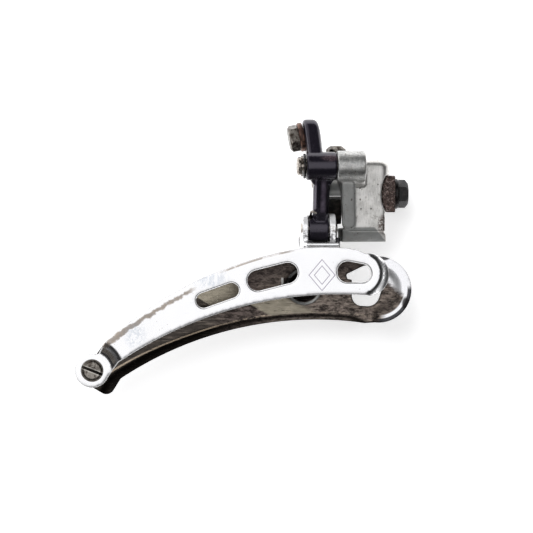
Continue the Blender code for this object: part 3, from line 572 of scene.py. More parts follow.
# ---------------------------------------------------------------- castings and forgings
def mount_body():
    parts = [
        hull([(x, y, z) for inset, z in [(0.0, -12.5)] + [(2.6 * (1 - math.cos(math.radians(a))), 11.5 - 2.6 * (1 - math.sin(math.radians(a)))) for a in range(0, 91, 10)]
              for x, y in rounded([(-11.0, -8.5 + inset, 0.8), (2.9 - inset, -8.5 + inset, 2.7), (2.9 - inset, 8.5 - inset, 2.7), (-11.0, 8.5 - inset, 0.8)])]),
        bevelled(hull(
            [(x, 8.2, z) for x, z in ((-13.3, -11.8), (1.2, -11.2), (2.2, -16.0), (-12.9, -16.3))]
            + [(-13.3, -8.3, -11.8), (-10.0, -8.3, -10.9), (-0.8, -8.3, -11.2), (2.0, -6.4, -13.8), (2.2, -4.9, -16.2), (-12.9, -4.9, -16.3)]
        ), 0.9, 4, 20),
        bevelled(prism(rounded([(-14.2, 6.0, 0), (-9.3, 6.0, 0), (-8.9, -11.9, 2.4), (-13.2, -11.9, 1.8)]), "Y", -14.3, -7.6), 0.7, 4),
        rod(-15.6, -5.9, 5.2, at(OUTER_UPPER), edge=0.45),
        bevelled(box((-14.5, -12.4, 3.2), (-6.1, 6.5, 13.6)), 0.9, 4),
        bevelled(box((-12.0, -10.6, 2.6), (-5.4, 6.5, 12.6)), 0.9, 4),
        bevelled(box((-17.6, -7.5, 3.2), (-10.0, 6.5, 13.6)), 0.7, 3),
        rod(-17.6, -7.0, 5.2, at(INNER_UPPER), edge=0.5),
    ]
    half = math.degrees(math.asin(SADDLE_HALF / SADDLE_R))
    saddle = arc(SADDLE_R, 0, SADDLE_R, 180 - half, 180 + half, 48)
    cutters = [
        prism([(12, SADDLE_HALF), *saddle, (12, -SADDLE_HALF)], "Y", -15, 15),
        box((1.3, -15, -12.9), (12, 15, -SADDLE_HALF + 0.1)),
        rod(-7.6, 6, 2.8),
        rod(-20, -6.4, 2.5, at(OUTER_UPPER)),
        rod(-20, -9.0, 2.0, at(INNER_UPPER)),
    ] + [rod(7.2, 20, 2.2, (LIMIT_SCREW_X, y, 0), (0, 0, 1)) for y in LIMIT_SCREWS.values()]
    bm = casting(parts, cutters, 0.24, 5)
    piece("mount_body_skin", bm, "mount", "mount_body", FINISH["aluminium"], sharp=None)


def cable_axis():
    tilt = math.radians(10)
    return Vector((-math.cos(tilt), 0, -math.sin(tilt)))


def outer_link():
    tilt = math.tan(math.radians(10))
    x0, y0, z0 = CABLE_ANCHOR
    points = discs(x0, -20.5, y0, z0 + 0.65, 5.2, 1.5, -tilt)
    points += discs(-25.0, -20.5, *OUTER_UPPER, 4.0, 0.8)
    arm = hull([(x, y, z) for x, inset in ((-23.4, 1.3), (-22.3, 0.0), (-18.8, 0.0), (-17.6, 1.3)) for y, z in circle(*OUTER_UPPER, 2.6 - inset, 32)]
               + [(x, y, z) for x, inset in ((-22.9, 1.3), (-21.8, 0.0), (-18.9, 0.0), (-17.75, 1.3)) for y, z in circle(*OUTER_LOWER, 2.6 - inset, 32)])
    down = (Vector(OUTER_LOWER) - Vector(OUTER_UPPER)).normalized()
    flare = hull([(x, *(Vector(OUTER_UPPER) + down * d + Vector((-down.y, down.x)) * w))
                  for d, x0_, x1_, half in ((3.6, -24.9, -16.3, 2.4), (5.0, -24.1, -16.9, 2.3), (6.4, -23.3, -17.6, 2.2))
                  for x in (x0_, x1_) for w in (-half, half)])
    parts = [
        hull(points),
        rod(-25.9, -15.8, 4.75, at(OUTER_UPPER), edge=0.5),
        arm,
        bevelled(flare, 0.6, 3),
        rod(-24.4, -17.7, 4.4, at(OUTER_LOWER), edge=0.3),
    ]
    y, z = OUTER_LOWER
    stepped = [(-30, 0), (-30, 3.75), (-19.35, 3.75), (-19.35, 2.0), (-10, 2.0), (-10, 0)]
    cutters = [
        rod(-30, -10, 2.5, at(OUTER_UPPER)),
        turned(stepped, at(OUTER_LOWER)),
        rod(-12, 6, 2.7, CABLE_ANCHOR, cable_axis()),
        box((-25.0, y - 2.85, z + 2.2), (-23.05, y - 0.7, z + 5.2)),
    ]
    bm = casting(parts, cutters, 0.18, 12)
    piece("outer_link_skin", bm, "outer_link", "outer_link", FINISH["black_anodised"], sharp=None)


def inner_link():
    a, b = Vector(INNER_UPPER), Vector(INNER_LOWER)
    up = (a - b).normalized()
    side = Vector((up.y, -up.x))
    lo, hi = b + up * 9.7, a - up * 6.3
    toe = b + up * 7.3
    foot = [tuple(toe + side * 1.5), tuple(lo + up + side * 1.5), tuple(lo + up - side * 1.5), tuple(toe - side * 1.5)]
    bar = [tuple(lo + side * 1.5), tuple(hi + side * 1.5), tuple(hi - side * 1.5), tuple(lo - side * 1.5)]
    parts = [
        prism(two_circles(a, 1.6, b, 1.6, 20), "X", -22.1, -17.6),
        prism(bar, "X", -18.3, -12.5),
        prism(foot, "X", -15.0, -12.5),
        prism(two_circles(b, 3.2, b + up * 11.2, 1.45, 24), "X", -15.0, -13.9),
        rod(-22.1, -17.95, 3.1, at(INNER_UPPER), edge=0.3),
        rod(-23.75, -17.75, 3.2, at(INNER_LOWER), edge=0.3),
    ]
    bm = casting(parts, [rod(-30, -5, 2.0, at(INNER_UPPER)), rod(-30, -5, 2.05, at(INNER_LOWER))], 0.18, 5)
    piece("inner_link_skin", bm, "inner_link", "inner_link", FINISH["dark_link"], sharp=None)


# ---------------------------------------------------------------- fasteners
def hex_head(across, head, centre, direction, chamfer_reach=1.15, chamfer_depth=1.0, turned_by=90):
    bm = prism(hexagon(across, turn=turned_by), "X", *head)
    turn = Vector((1, 0, 0)).rotation_difference(Vector(direction)).to_matrix().to_4x4()
    bmesh.ops.transform(bm, matrix=Matrix.Translation(Vector(centre)) @ turn, verts=bm.verts)
    r = across / 2 / math.cos(math.pi / 6)
    t0, t1 = head
    lens = [(t0 - 1, 0), (t0 - 1, r + 1), (t0, r - 0.1), (t0 + 0.25, r + 0.05), (t1 - chamfer_depth, r + 0.05),
            (t1, r - chamfer_reach), (t1, 0)]
    return bevelled(carved(bm, [turned(lens, centre, direction, 96)], "INTERSECT"), 0.18, 3, 20)


def thread(t0, t1, r, pitch, centre, direction):
    """A shank with rings where the thread is."""
    profile = [(t0, 0), (t0, r - 0.45)]
    t = t0 + 0.2
    while t + pitch < t1:
        profile += [(t, r - 0.3), (t + pitch * 0.42, r), (t + pitch * 0.58, r)]
        t += pitch
    profile += [(t, r - 0.3), (t1, r - 0.3), (t1, 0)]
    return turned(profile, centre, direction, 48)


def joined(*meshes):
    out = bmesh.new()
    for bm in meshes:
        mesh = bpy.data.meshes.new("join")
        bm.to_mesh(mesh)
        bm.free()
        out.from_mesh(mesh)
        bpy.data.meshes.remove(mesh)
    return out


def mount_hardware():
    half = math.degrees(math.asin(6.2 / 12.4))
    face = arc(SADDLE_R - 0.3, 0, 12.4, 180 - half, 180 + half, 40)
    washer = prism([(5.1, 6.2), *face, (5.1, -6.2)], "Y", -6.2, 6.2)
    washer = remeshed(carved(bevelled(washer, 0.55, 4, 40), [rod(-3, 9, 2.8)]), 0.16, 4)
    piece("saddle_washer_skin", washer, "mount", "saddle_washer", FINISH["rusty_steel"], sharp=None)
    piece("mount_washer_skin", ring(5.35, 6.45, 2.8, 5.1, edge=0.3), "mount", "mount_washer", FINISH["black_steel"])
    bolt = joined(hex_head(8.3, (6.7, 9.9), (0, 0, 0), (1, 0, 0)), thread(-7.0, 6.9, 2.5, 0.8, (0, 0, 0), (1, 0, 0)))
    piece("mount_bolt_skin", bolt, "mount", "mount_bolt", FINISH["black_steel"], sharp=40)


def slotted(bm, low, high):
    return bevelled(carved(bm, [box(low, high)]), 0.12, 2, 30)


def limit_screws():
    for name, y in LIMIT_SCREWS.items():
        head = rounded([(13.9, -1, 0), (13.9, 3.0, 0.25), (15.1, 3.0, 0.3), (16.3, 1.6, 1.6), (16.3, -1, 0)], 6)
        head = [(13.9, 0)] + [p for p in head if p[1] > 0] + [(16.3, 0)]
        top = turned(head, (LIMIT_SCREW_X, y, 0), (0, 0, 1), 72)
        top = slotted(top, (LIMIT_SCREW_X - 4, y - 0.4, 15.3), (LIMIT_SCREW_X + 4, y + 0.4, 18))
        shank = thread(7.6, 14.0, 1.9, 0.7, (LIMIT_SCREW_X, y, 0), (0, 0, 1))
        piece(name + "_skin", joined(top, shank), name, name, FINISH["hex_steel"], sharp=40)


def cable_anchor():
    bolt = joined(hex_head(8.0, (2.15, 5.3), CABLE_ANCHOR, cable_axis(), 1.0, 0.8, 45),
                  thread(-3.4, 2.3, 2.4, 0.8, CABLE_ANCHOR, cable_axis()))
    piece("cable_anchor_bolt_skin", bolt, "outer_link", "cable_anchor_bolt", FINISH["hex_steel"], sharp=40)
    washer = ring(0.25, 1.95, 2.7, 4.9, CABLE_ANCHOR, cable_axis(), edge=0.45)
    piece("cable_clamp_washer_skin", washer, "outer_link", "cable_clamp_washer", FINISH["copper_brown"])


def open_clip(x0, x1, inner, outer, p, opening=110, towards=200):
    y, z = p
    half = opening / 2
    outline = arc(y, z, outer, towards + half, towards + 360 - half, 64)
    outline += arc(y, z, inner, towards + 360 - half, towards + half, 64)
    return bevelled(prism(outline, "X", x0, x1), 0.1, 2, 40)


def turned_edges(profile, centre, direction=(1, 0, 0), width=0.12):
    return bevelled(turned(profile, centre, direction, 72), width, 2, 25)


def pins():
    steel = FINISH["pin_steel"]
    pin = turned_edges([(-29.0, 0), (-29.0, 2.4), (-28.6, 3.0), (-27.8, 3.0), (-27.8, 1.6), (-26.9, 1.6), (-26.9, 2.2), (-6.8, 2.2), (-6.8, 0)], at(OUTER_UPPER))
    piece("upper_outer_pin_skin", pin, "mount", "upper_outer_pin", steel)
    piece("upper_outer_clip_skin", open_clip(-27.65, -27.15, 1.8, 3.5, OUTER_UPPER), "mount", "upper_outer_clip", steel)
    piece("pivot_shim_skin", ring(-26.85, -26.15, 2.5, 4.2, at(OUTER_UPPER), edge=0.2), "mount", "pivot_shim", FINISH["black_steel"])
    pin = turned_edges([(-23.0, 0), (-23.0, 2.1), (-22.75, 2.5), (-22.35, 2.5), (-22.35, 1.7), (-9.3, 1.7), (-9.3, 0)], at(INNER_UPPER))
    piece("upper_inner_pin_skin", pin, "mount", "upper_inner_pin", steel)
    pin = turned_edges([(-26.75, 0), (-26.75, 1.4), (-26.55, 1.7), (-15.2, 1.7), (-15.2, 1.3), (-14.75, 1.3), (-14.75, 1.7), (-14.65, 1.7),
                        (-14.5, 1.4), (-14.5, 0)], at(OUTER_LOWER), width=0.07)
    piece("lower_outer_pin_skin", pin, "cage", "lower_outer_pin", steel)
    piece("lower_outer_clip_skin", open_clip(-15.12, -14.83, 1.45, 2.6, OUTER_LOWER, towards=60), "cage", "lower_outer_clip", steel)
    pin = turned_edges([(-26.55, 0), (-26.55, 1.5), (-26.35, 1.7), (-24.62, 1.7), (-24.62, 1.3), (-24.05, 1.3), (-24.05, 1.7), (-13.85, 1.7),
                        (-13.65, 1.5), (-13.65, 0)], at(INNER_LOWER), width=0.07)
    piece("lower_inner_pin_skin", pin, "cage", "lower_inner_pin", FINISH["black_steel"])
    piece("lower_inner_clip_skin", open_clip(-24.5, -24.15, 1.45, 2.6, INNER_LOWER, towards=120), "cage", "lower_inner_clip", steel)


def return_spring():
    """Coil round the lower outer pin: one leg hooks over the outer link's arm, the other end sits in the cage's ear."""
    y, z = OUTER_LOWER
    r, wire = 3.05, 0.42
    start, turns = math.radians(113.0), 4.2
    steps = 200
    first, last = -23.7, -19.85
    coil = []
    for i in range(steps + 1):
        a = start - 2 * math.pi * turns * i / steps
        coil.append((first + (last - first) * i / steps, y + r * math.cos(a), z + r * math.sin(a)))
    out = Vector((math.cos(start), math.sin(start)))
    leg = [
        (-22.15, y + out.x * 6.1 - 3.7, z + out.y * 6.1 - 0.5),
        (-23.05, y + out.x * 6.3 - 3.4, z + out.y * 6.3 - 0.2),
        (-23.65, y + out.x * 6.0 - 2.0, z + out.y * 6.0),
        (-23.7, y + out.x * 5.0 - 0.6, z + out.y * 5.0),
        (-23.7, y + out.x * 4.0 - 0.1, z + out.y * 4.0),
    ]
    path = [Vector(p) for p in leg + coil[:1]]
    soft = []
    for i in range(len(path) - 1):
        p0, p1 = path[max(i - 1, 0)], path[i]
        p2, p3 = path[i + 1], path[min(i + 2, len(path) - 1)]
        for k in range(6):
            t = k / 6
            soft.append(0.5 * (2 * p1 + (p2 - p0) * t + (2 * p0 - 5 * p1 + 4 * p2 - p3) * t * t + (3 * p1 - p0 - 3 * p2 + p3) * t ** 3))
    piece("return_spring_skin", tube(soft + coil, wire, 16), "outer_link", "return_spring", FINISH["steel"], sharp=None)


def cage_bracket():
    x0, x1 = EAR_LEFT_X[0], EAR_RIGHT_X[1]
    y, z = OUTER_LOWER
    parts = [box((x0, -20.3, BASE_Z[0]), (x1, -1.5, BASE_Z[1]))]
    for a, b in (EAR_LEFT_X, EAR_RIGHT_X):
        parts.append(prism(two_circles(OUTER_LOWER, 4.9, INNER_LOWER, 3.7, 32), "X", a, b))
        parts.append(box((a, y - 4.7, BASE_Z[0] + 0.2), (b, y + 3.0, z)))
    parts.append(box((x0, -18.9, -22.2), (x1, -17.8, BASE_Z[0] + 0.4)))
    parts.append(box((x0, -9.7, -25.2), (x1, -8.5, BASE_Z[0] + 0.4)))
    parts.append(box((x1 - 0.4, -6.5, -19.6), (-13.75, -1.4, -14.7)))
    cutters = [rod(-30, -10, 2.0, at(OUTER_LOWER)), rod(-30, -10, 2.0, at(INNER_LOWER))]
    cutters += [rod(-12, -6, 1.6, (x, 0, RIVET_Z), (0, 1, 0)) for x in RIVETS.values()]
    bm = casting(parts, cutters, 0.16, 3)
    piece("cage_bracket_skin", bm, "cage", "cage_bracket", FINISH["bright_chrome"], sharp=None)


def rivets():
    for name, x in RIVETS.items():
        profile = [(-10.6, 0), (-10.6, 1.6), (-10.3, 2.2), (-9.9, 2.2), (-9.9, 1.3), (-6.8, 1.3), (-6.8, 2.2), (-6.4, 2.2),
                   (-6.1, 1.6), (-6.1, 0)]
        piece(name + "_skin", turned_edges(profile, (x, 0, RIVET_Z), (0, 1, 0), 0.12), "cage", name, FINISH["steel"])


def tail_hardware():
    x, z = TAIL
    face = OUTER_PLATE_Y + TAIL_STEP
    centre = (x, 0, z)
    t0 = face - 2.1
    head = rounded([(t0, -1, 0), (t0, 3.0, 1.2), (face - 1.3, 3.75, 0.4), (face - 0.2, 3.75, 0.15), (face - 0.2, 1.9, 0)], 6)
    head = [(t0, 0)] + [p for p in head if p[1] > 0] + [(-4.6, 1.9), (-4.6, 0)]
    screw = turned(head, centre, (0, 1, 0), 96)
    bar = box((-5, -1.2, -0.42), (5, 1.2, 0.42))
    turn = Matrix.Rotation(math.radians(21.6), 4, "Y")
    bmesh.ops.transform(bar, matrix=Matrix.Translation((x, face - 2.3, z)) @ turn, verts=bar.verts)
    screw = bevelled(carved(screw, [bar]), 0.1, 2, 30)
    piece("tail_screw_skin", screw, "cage", "tail_screw", FINISH["screw_steel"], sharp=40)
    spacer = ring(face + SHEET + 0.25, INNER_PLATE_Y - 0.25, 2.2, 3.2, centre, (0, 1, 0), edge=0.25)
    piece("tail_spacer_skin", spacer, "cage", "tail_spacer", FINISH["steel"])
    nut = hex_head(7.0, (INNER_PLATE_Y + SHEET + 0.25, -4.6), centre, (0, 1, 0), 0.7, 0.45)
    nut = carved(nut, [rod(-12, 0, 2.2, centre, (0, 1, 0))])
    piece("tail_nut_skin", nut, "cage", "tail_nut", FINISH["steel"], sharp=40)


# ---------------------------------------------------------------- finishes
class Finish:
    """Principled material whose inputs come from nodes, in millimetres of the object's own space."""

    def __init__(self, name):
        self.mat = bpy.data.materials.new(name)
        self.mat.use_nodes = True
        self.tree = self.mat.node_tree
        self.shader = next(n for n in self.tree.nodes if n.type == "BSDF_PRINCIPLED")
        coord = self.tree.nodes.new("ShaderNodeTexCoord")
        scale = self.tree.nodes.new("ShaderNodeVectorMath")
        scale.operation = "MULTIPLY_ADD"
        scale.inputs[1].default_value = (1 / MM,) * 3
        scale.inputs[2].default_value = tuple(ORIGIN)
        self.link(coord.outputs["Object"], scale.inputs[0])
        self.mm = scale.outputs[0]

    def link(self, a, b):
        self.tree.links.new(a, b)

    def feed(self, socket, value):
        if isinstance(value, bpy.types.NodeSocket):
            self.link(value, socket)
        elif isinstance(value, (tuple, list)) and len(value) == 3 and socket.type == "RGBA":
            socket.default_value = (*value, 1.0)
        else:
            socket.default_value = value

    def math(self, operation, a, b=0.0, c=0.0, clamp=False):
        node = self.tree.nodes.new("ShaderNodeMath")
        node.operation, node.use_clamp = operation, clamp
        for socket, value in zip(node.inputs, (a, b, c)):
            self.feed(socket, value)
        return node.outputs[0]

    def ramp(self, value, low, high, to_low=0.0, to_high=1.0):
        node = self.tree.nodes.new("ShaderNodeMapRange")
        node.interpolation_type = "SMOOTHSTEP"
        for socket, v in zip(node.inputs, (value, low, high, to_low, to_high)):
            self.feed(socket, v)
        return node.outputs[0]

    def axis(self, index):
        node = self.tree.nodes.new("ShaderNodeSeparateXYZ")
        self.link(self.mm, node.inputs[0])
        return node.outputs[index]

    def stretched(self, scale, turn=(0, 0, 0)):
        node = self.tree.nodes.new("ShaderNodeMapping")
        self.link(self.mm, node.inputs["Vector"])
        node.inputs["Scale"].default_value = scale
        node.inputs["Rotation"].default_value = [math.radians(a) for a in turn]
        return node.outputs[0]

    def noise(self, per_mm, detail=3.0, rough=0.55, where=None, warp=0.0):
        node = self.tree.nodes.new("ShaderNodeTexNoise")
        self.link(where or self.mm, node.inputs["Vector"])
        node.inputs["Scale"].default_value = per_mm
        node.inputs["Detail"].default_value = detail
        node.inputs["Roughness"].default_value = rough
        node.inputs["Distortion"].default_value = warp
        return node.outputs[0]

    def cells(self, per_mm, where=None):
        node = self.tree.nodes.new("ShaderNodeTexVoronoi")
        self.link(where or self.mm, node.inputs["Vector"])
        node.inputs["Scale"].default_value = per_mm
        return node.outputs[0]

    def blend(self, factor, a, b):
        node = self.tree.nodes.new("ShaderNodeMix")
        node.data_type = "RGBA"
        self.feed(node.inputs[0], factor)
        self.feed(node.inputs[6], a)
        self.feed(node.inputs[7], b)
        return node.outputs[2]

    def mesh(self, name):
        node = self.tree.nodes.new("ShaderNodeAttribute")
        node.attribute_name = name
        return node.outputs["Fac"]

    def bump(self, height, strength, distance_mm):
        node = self.tree.nodes.new("ShaderNodeBump")
        node.inputs["Strength"].default_value = strength
        node.inputs["Distance"].default_value = distance_mm * MM
        self.link(height, node.inputs["Height"])
        self.link(node.outputs[0], self.shader.inputs["Normal"])

    def near(self, x, z, rx, rz, soft=0.5):
        """1 inside an ellipse round a point in the X-Z plane, fading out past it."""
        dx = self.math("DIVIDE", self.math("SUBTRACT", self.axis(0), x), rx)
        dz = self.math("DIVIDE", self.math("SUBTRACT", self.axis(2), z), rz)
        d = self.math("SQRT", self.math("ADD", self.math("MULTIPLY", dx, dx), self.math("MULTIPLY", dz, dz)))
        return self.ramp(d, 1 - soft, 1 + soft, 1.0, 0.0)

    def done(self, base, metallic, rough, **others):
        self.feed(self.shader.inputs["Base Color"], base)
        self.feed(self.shader.inputs["Metallic"], metallic)
        self.feed(self.shader.inputs["Roughness"], rough)
        for key, value in others.items():
            self.feed(self.shader.inputs[key.replace("_", " ")], value)
        return self.mat


def lozenge(f, x, z, width, height, line):
    """A thin four-sided outline drawn on the X-Z plane."""
    dx = f.math("DIVIDE", f.math("ABSOLUTE", f.math("SUBTRACT", f.axis(0), x)), width)
    dz = f.math("DIVIDE", f.math("ABSOLUTE", f.math("SUBTRACT", f.axis(2), z)), height)
    off = f.math("ABSOLUTE", f.math("SUBTRACT", f.math("ADD", dx, dz), 1.0))
    return f.ramp(off, line, line * 2.2, 1.0, 0.0)


def chrome():
    f = Finish("chrome")
    top = f.mesh("top_mm")
    edge = f.mesh("edge_mm")
    x = f.axis(0)
    cloud = f.noise(0.09, 4, 0.6)
    fine = f.noise(1.3, 5, 0.65)
    along = f.noise(1.0, 5, 0.65, f.stretched((0.16, 1, 1.3), (0, 32, 0)))
    # Plating worn through to brown metal in a ragged stripe just under the upper edge.
    patchy = f.noise(0.42, 4, 0.6)
    wander = f.math("ADD", f.ramp(x, -93.0, -76.0, 1.3, 2.3), f.math("MULTIPLY", f.math("SUBTRACT", patchy, 0.5), 1.7))
    away = f.math("ABSOLUTE", f.math("SUBTRACT", top, wander))
    half = f.math("ADD", f.ramp(x, -92.0, -80.0, 0.95, 0.65), f.math("MULTIPLY", f.math("SUBTRACT", f.noise(0.7, 4, 0.55), 0.5), 1.5))
    band = f.ramp(f.math("SUBTRACT", away, half), -0.35, 0.25, 1.0, 0.0)
    band = f.math("MULTIPLY", band, f.ramp(x, -67.0, -62.5, 1.0, 0.0))
    line = f.ramp(f.math("ABSOLUTE", f.math("SUBTRACT", top, f.ramp(x, -56.0, -30.0, 0.75, 0.45))), 0.1, 0.5, 1.0, 0.0)
    rear = f.math("MULTIPLY", line, f.math("MULTIPLY", f.ramp(x, -57.0, -53.0), f.ramp(x, -34.0, -29.0, 1.0, 0.0)))
    band = f.math("MULTIPLY", band, f.ramp(f.mesh("front_side"), 0.4, 0.6))
    band = f.math("MAXIMUM", band, f.math("MULTIPLY", rear, f.ramp(patchy, 0.36, 0.48, 0.3, 0.9)))
    smear = f.math("MULTIPLY", f.near(-59.0, -28.0, 5.5, 3.0, 0.5), f.ramp(f.noise(0.6, 5, 0.7, f.stretched((1.6, 1, 0.6), (0, -30, 0))), 0.42, 0.6))
    smear = f.math("MAXIMUM", smear, f.math("MULTIPLY", f.near(-84.0, -47.0, 3.0, 4.0, 0.6), f.ramp(fine, 0.4, 0.6)))
    specks = f.math("MULTIPLY", f.ramp(f.cells(0.45), 0.05, 0.12, 1.0, 0.0), f.ramp(f.noise(0.3, 2), 0.48, 0.55))
    base = f.blend(f.math("MULTIPLY", band, f.ramp(fine, 0.3, 0.6, 0.55, 0.9)), (0.97, 0.97, 0.98), f.blend(f.ramp(fine, 0.35, 0.65), (0.34, 0.27, 0.21), (0.62, 0.53, 0.44)))
    base = f.blend(f.math("MULTIPLY", smear, 0.6), base, (0.60, 0.65, 0.72))
    base = f.blend(f.math("MULTIPLY", specks, 0.45), base, (0.45, 0.42, 0.42))
    scratches = f.ramp(f.noise(1.0, 3, 0.6, f.stretched((0.25, 1, 7.0), (0, 24, 0))), 0.66, 0.72)
    base = f.blend(f.math("MULTIPLY", scratches, 0.18), base, (0.55, 0.56, 0.6))
    mark = f.math("MAXIMUM", lozenge(f, -21.2, -27.0, 4.4, 5.2, 0.022), lozenge(f, -21.2, -27.0, 2.6, 3.1, 0.034))
    mark = f.math("MULTIPLY", mark, f.ramp(f.mesh("front_side"), 0.4, 0.6))
    base = f.blend(f.math("MULTIPLY", mark, 0.75), base, (0.35, 0.30, 0.42))
    rim = f.ramp(edge, 0.0, 0.5, 1.0, 0.0)
    base = f.blend(f.math("MULTIPLY", rim, f.ramp(fine, 0.4, 0.7, 0.05, 0.5)), base, (0.36, 0.31, 0.30))
    rough = f.math("ADD", f.math("MULTIPLY", band, 0.28), f.ramp(cloud, 0.3, 0.7, 0.12, 0.19))
    height = f.math("SUBTRACT", f.math("MULTIPLY", f.noise(0.35, 2), 0.5), f.math("MULTIPLY", mark, 0.6))
    f.bump(height, 0.25, 0.12)
    soft_rim = f.math("MULTIPLY", f.ramp(edge, 0.1, 0.5, 1.0, 0.0), f.ramp(x, -88.0, -60.0, 0.8, 0.35))
    return f.done(base, f.math("SUBTRACT", 1.0, soft_rim), rough)


def worn_chrome():
    f = Finish("worn_chrome")
    edge = f.mesh("edge_mm")
    x, z = f.axis(0), f.axis(2)
    cloud = f.noise(0.14, 4, 0.6)
    mottled = f.noise(0.8, 6, 0.72, f.stretched((0.65, 1, 1.4), (0, 135, 0)))
    grit = f.noise(3.2, 4, 0.7)
    drawn = f.noise(1.0, 4, 0.65, f.stretched((0.10, 1, 3.2), (0, 24, 0)))
    scored = f.noise(1.0, 3, 0.6, f.stretched((0.3, 1, 4.5), (0, 142, 0)))
    # Height above the lower edge, which the rolled edge and the painted highlight along it follow.
    bx, bz, br = INNER_BOTTOM_ARC
    dx, dz = f.math("SUBTRACT", x, bx), f.math("SUBTRACT", z, bz)
    high = f.math("SUBTRACT", f.math("SQRT", f.math("ADD", f.math("MULTIPLY", dx, dx), f.math("MULTIPLY", dz, dz))), br)
    dark, brown, tan = (0.030, 0.024, 0.022), (0.15, 0.12, 0.108), (0.80, 0.64, 0.47)
    smooth_end = f.ramp(x, -60.0, -50.0, 1.0, 0.0)
    base = f.blend(f.ramp(mottled, 0.36, 0.62), dark, f.blend(f.ramp(x, -48.0, -30.0), brown, (0.22, 0.18, 0.155)))
    base = f.blend(f.math("MULTIPLY", smooth_end, 0.85), base, f.blend(drawn, (0.022, 0.020, 0.018), (0.075, 0.066, 0.056)))
    # Painted highlight: a tan line along the strip at a set height above its lower edge.
    painted_highlight_streak = f.ramp(f.math("ABSOLUTE", f.math("SUBTRACT", high, f.ramp(x, -97.0, -60.0, 3.9, 2.6))), 0.08, 0.42, 1.0, 0.0)
    front = f.ramp(f.mesh("front_side"), 0.4, 0.6)
    painted_highlight_streak = f.math("MULTIPLY", f.math("MULTIPLY", painted_highlight_streak, front), f.ramp(x, -34.0, -24.0, 1.0, 0.25))
    broken = f.math("MAXIMUM", smooth_end, f.ramp(f.math("ADD", f.math("MULTIPLY", mottled, 0.6), f.math("MULTIPLY", grit, 0.4)), 0.44, 0.58))
    base = f.blend(f.math("MULTIPLY", painted_highlight_streak, f.math("MULTIPLY", broken, 0.8)), base, tan)
    # Two smooth patches of painted reflected light whose ends run slantwise across the strip.
    slant = f.math("ADD", f.math("ADD", x, f.math("MULTIPLY", z, 1.86)), f.math("MULTIPLY", f.math("SUBTRACT", mottled, 0.5), 3.0))
    lower = f.math("MULTIPLY", f.ramp(slant, -114.4, -113.0), f.ramp(slant, -100.0, -94.0, 1.0, 0.0))
    lower = f.math("MULTIPLY", lower, f.math("MULTIPLY", f.ramp(high, 2.0, 2.6), f.ramp(high, 8.8, 9.6, 1.0, 0.0)))
    upper = f.math("MULTIPLY", f.ramp(f.math("ADD", z, f.math("MULTIPLY", x, 0.62)), -73.5, -73.1), f.ramp(x, -47.8, -46.8, 1.0, 0.0))
    upper = f.math("MULTIPLY", upper, f.ramp(f.math("SUBTRACT", z, f.math("MULTIPLY", x, 0.354)), -18.9, -18.1))
    painted_light_patches = f.math("MULTIPLY", f.math("MAXIMUM", lower, upper), front)
    base = f.blend(f.math("MULTIPLY", painted_light_patches, 0.9), base, f.blend(drawn, (0.25, 0.225, 0.175), (0.44, 0.395, 0.31)))
    base = f.blend(f.ramp(drawn, 0.56, 0.70, 0.0, 0.45), base, (0.42, 0.35, 0.29))
    pale = f.noise(1.0, 3, 0.6, f.stretched((0.22, 1, 3.6), (0, 150, 0)))
    base = f.blend(f.math("MULTIPLY", f.ramp(pale, 0.58, 0.68), f.ramp(x, -45.0, -30.0, 0.0, 0.55)), base, (0.50, 0.44, 0.37))
    base = f.blend(f.ramp(scored, 0.60, 0.66, 0.0, 0.75), base, (0.012, 0.010, 0.010))
    # Painted shade: high on the strip behind the outer plate, and inside the outer plate's nose hole.
    shaded = f.math("MULTIPLY", f.math("MULTIPLY", front, f.ramp(high, 12.0, 17.0, 0.0, 0.6)), f.ramp(x, -50.0, -46.0))
    nose_hole_shade = f.math("MULTIPLY", f.math("MULTIPLY", front, f.near(-12.2, -23.6, 4.6, 4.4, 0.35)), f.ramp(mottled, 0.3, 0.6, 1.0, 0.7))
    base = f.blend(f.math("MAXIMUM", shaded, f.math("MULTIPLY", nose_hole_shade, 0.93)), base, (0.018, 0.014, 0.014))
    base = f.blend(f.math("MULTIPLY", f.ramp(grit, 0.56, 0.66), f.ramp(x, -40.0, -20.0, 0.0, 0.35)), base, (0.45, 0.39, 0.33))
    # Plating still whole round the upper front of the nose and on its outer rim.
    dx, dz = f.math("SUBTRACT", x, INNER_NOSE[0]), f.math("SUBTRACT", z, INNER_NOSE[1])
    out = f.math("SQRT", f.math("ADD", f.math("MULTIPLY", dx, dx), f.math("MULTIPLY", dz, dz)))
    ragged = f.math("MULTIPLY", f.math("SUBTRACT", mottled, 0.5), 3.0)
    bound = f.math("ADD", f.math("ADD", z, f.math("MULTIPLY", x, 0.9)), ragged)
    plated = f.math("MULTIPLY", f.ramp(bound, -29.0, -26.0), f.ramp(x, -7.0, -3.0))
    lip = f.math("MULTIPLY", f.ramp(out, 8.5, 9.0), f.ramp(x, -1.0, 2.0))
    plated = f.math("MAXIMUM", plated, lip)
    base = f.blend(plated, base, (0.93, 0.93, 0.95))
    # Painted dark reflection: the nose's outer rim is near black along its lower right.
    low_rim = f.math("MULTIPLY", f.ramp(out, 9.7, 10.0), f.math("MULTIPLY", f.ramp(x, -3.0, 0.0), f.ramp(z, -32.5, -30.5, 1.0, 0.0)))
    base = f.blend(f.math("MULTIPLY", low_rim, 0.95), base, (0.03, 0.03, 0.035))
    curve = f.math("MULTIPLY", f.ramp(f.math("ABSOLUTE", f.math("SUBTRACT", out, 6.6)), 0.9, 1.9, 1.0, 0.0), f.ramp(x, -2.0, 1.0))
    # Painted dark reflections: two near-black spots on the nose's rolled band, at its top and its lower right.
    painted_dark_reflections = f.math("MAXIMUM", f.near(1.0, -21.4, 1.8, 0.9, 0.3), f.near(8.3, -37.0, 1.3, 2.2, 0.3))
    base = f.blend(f.math("MULTIPLY", painted_dark_reflections, 0.93), base, (0.02, 0.018, 0.018))
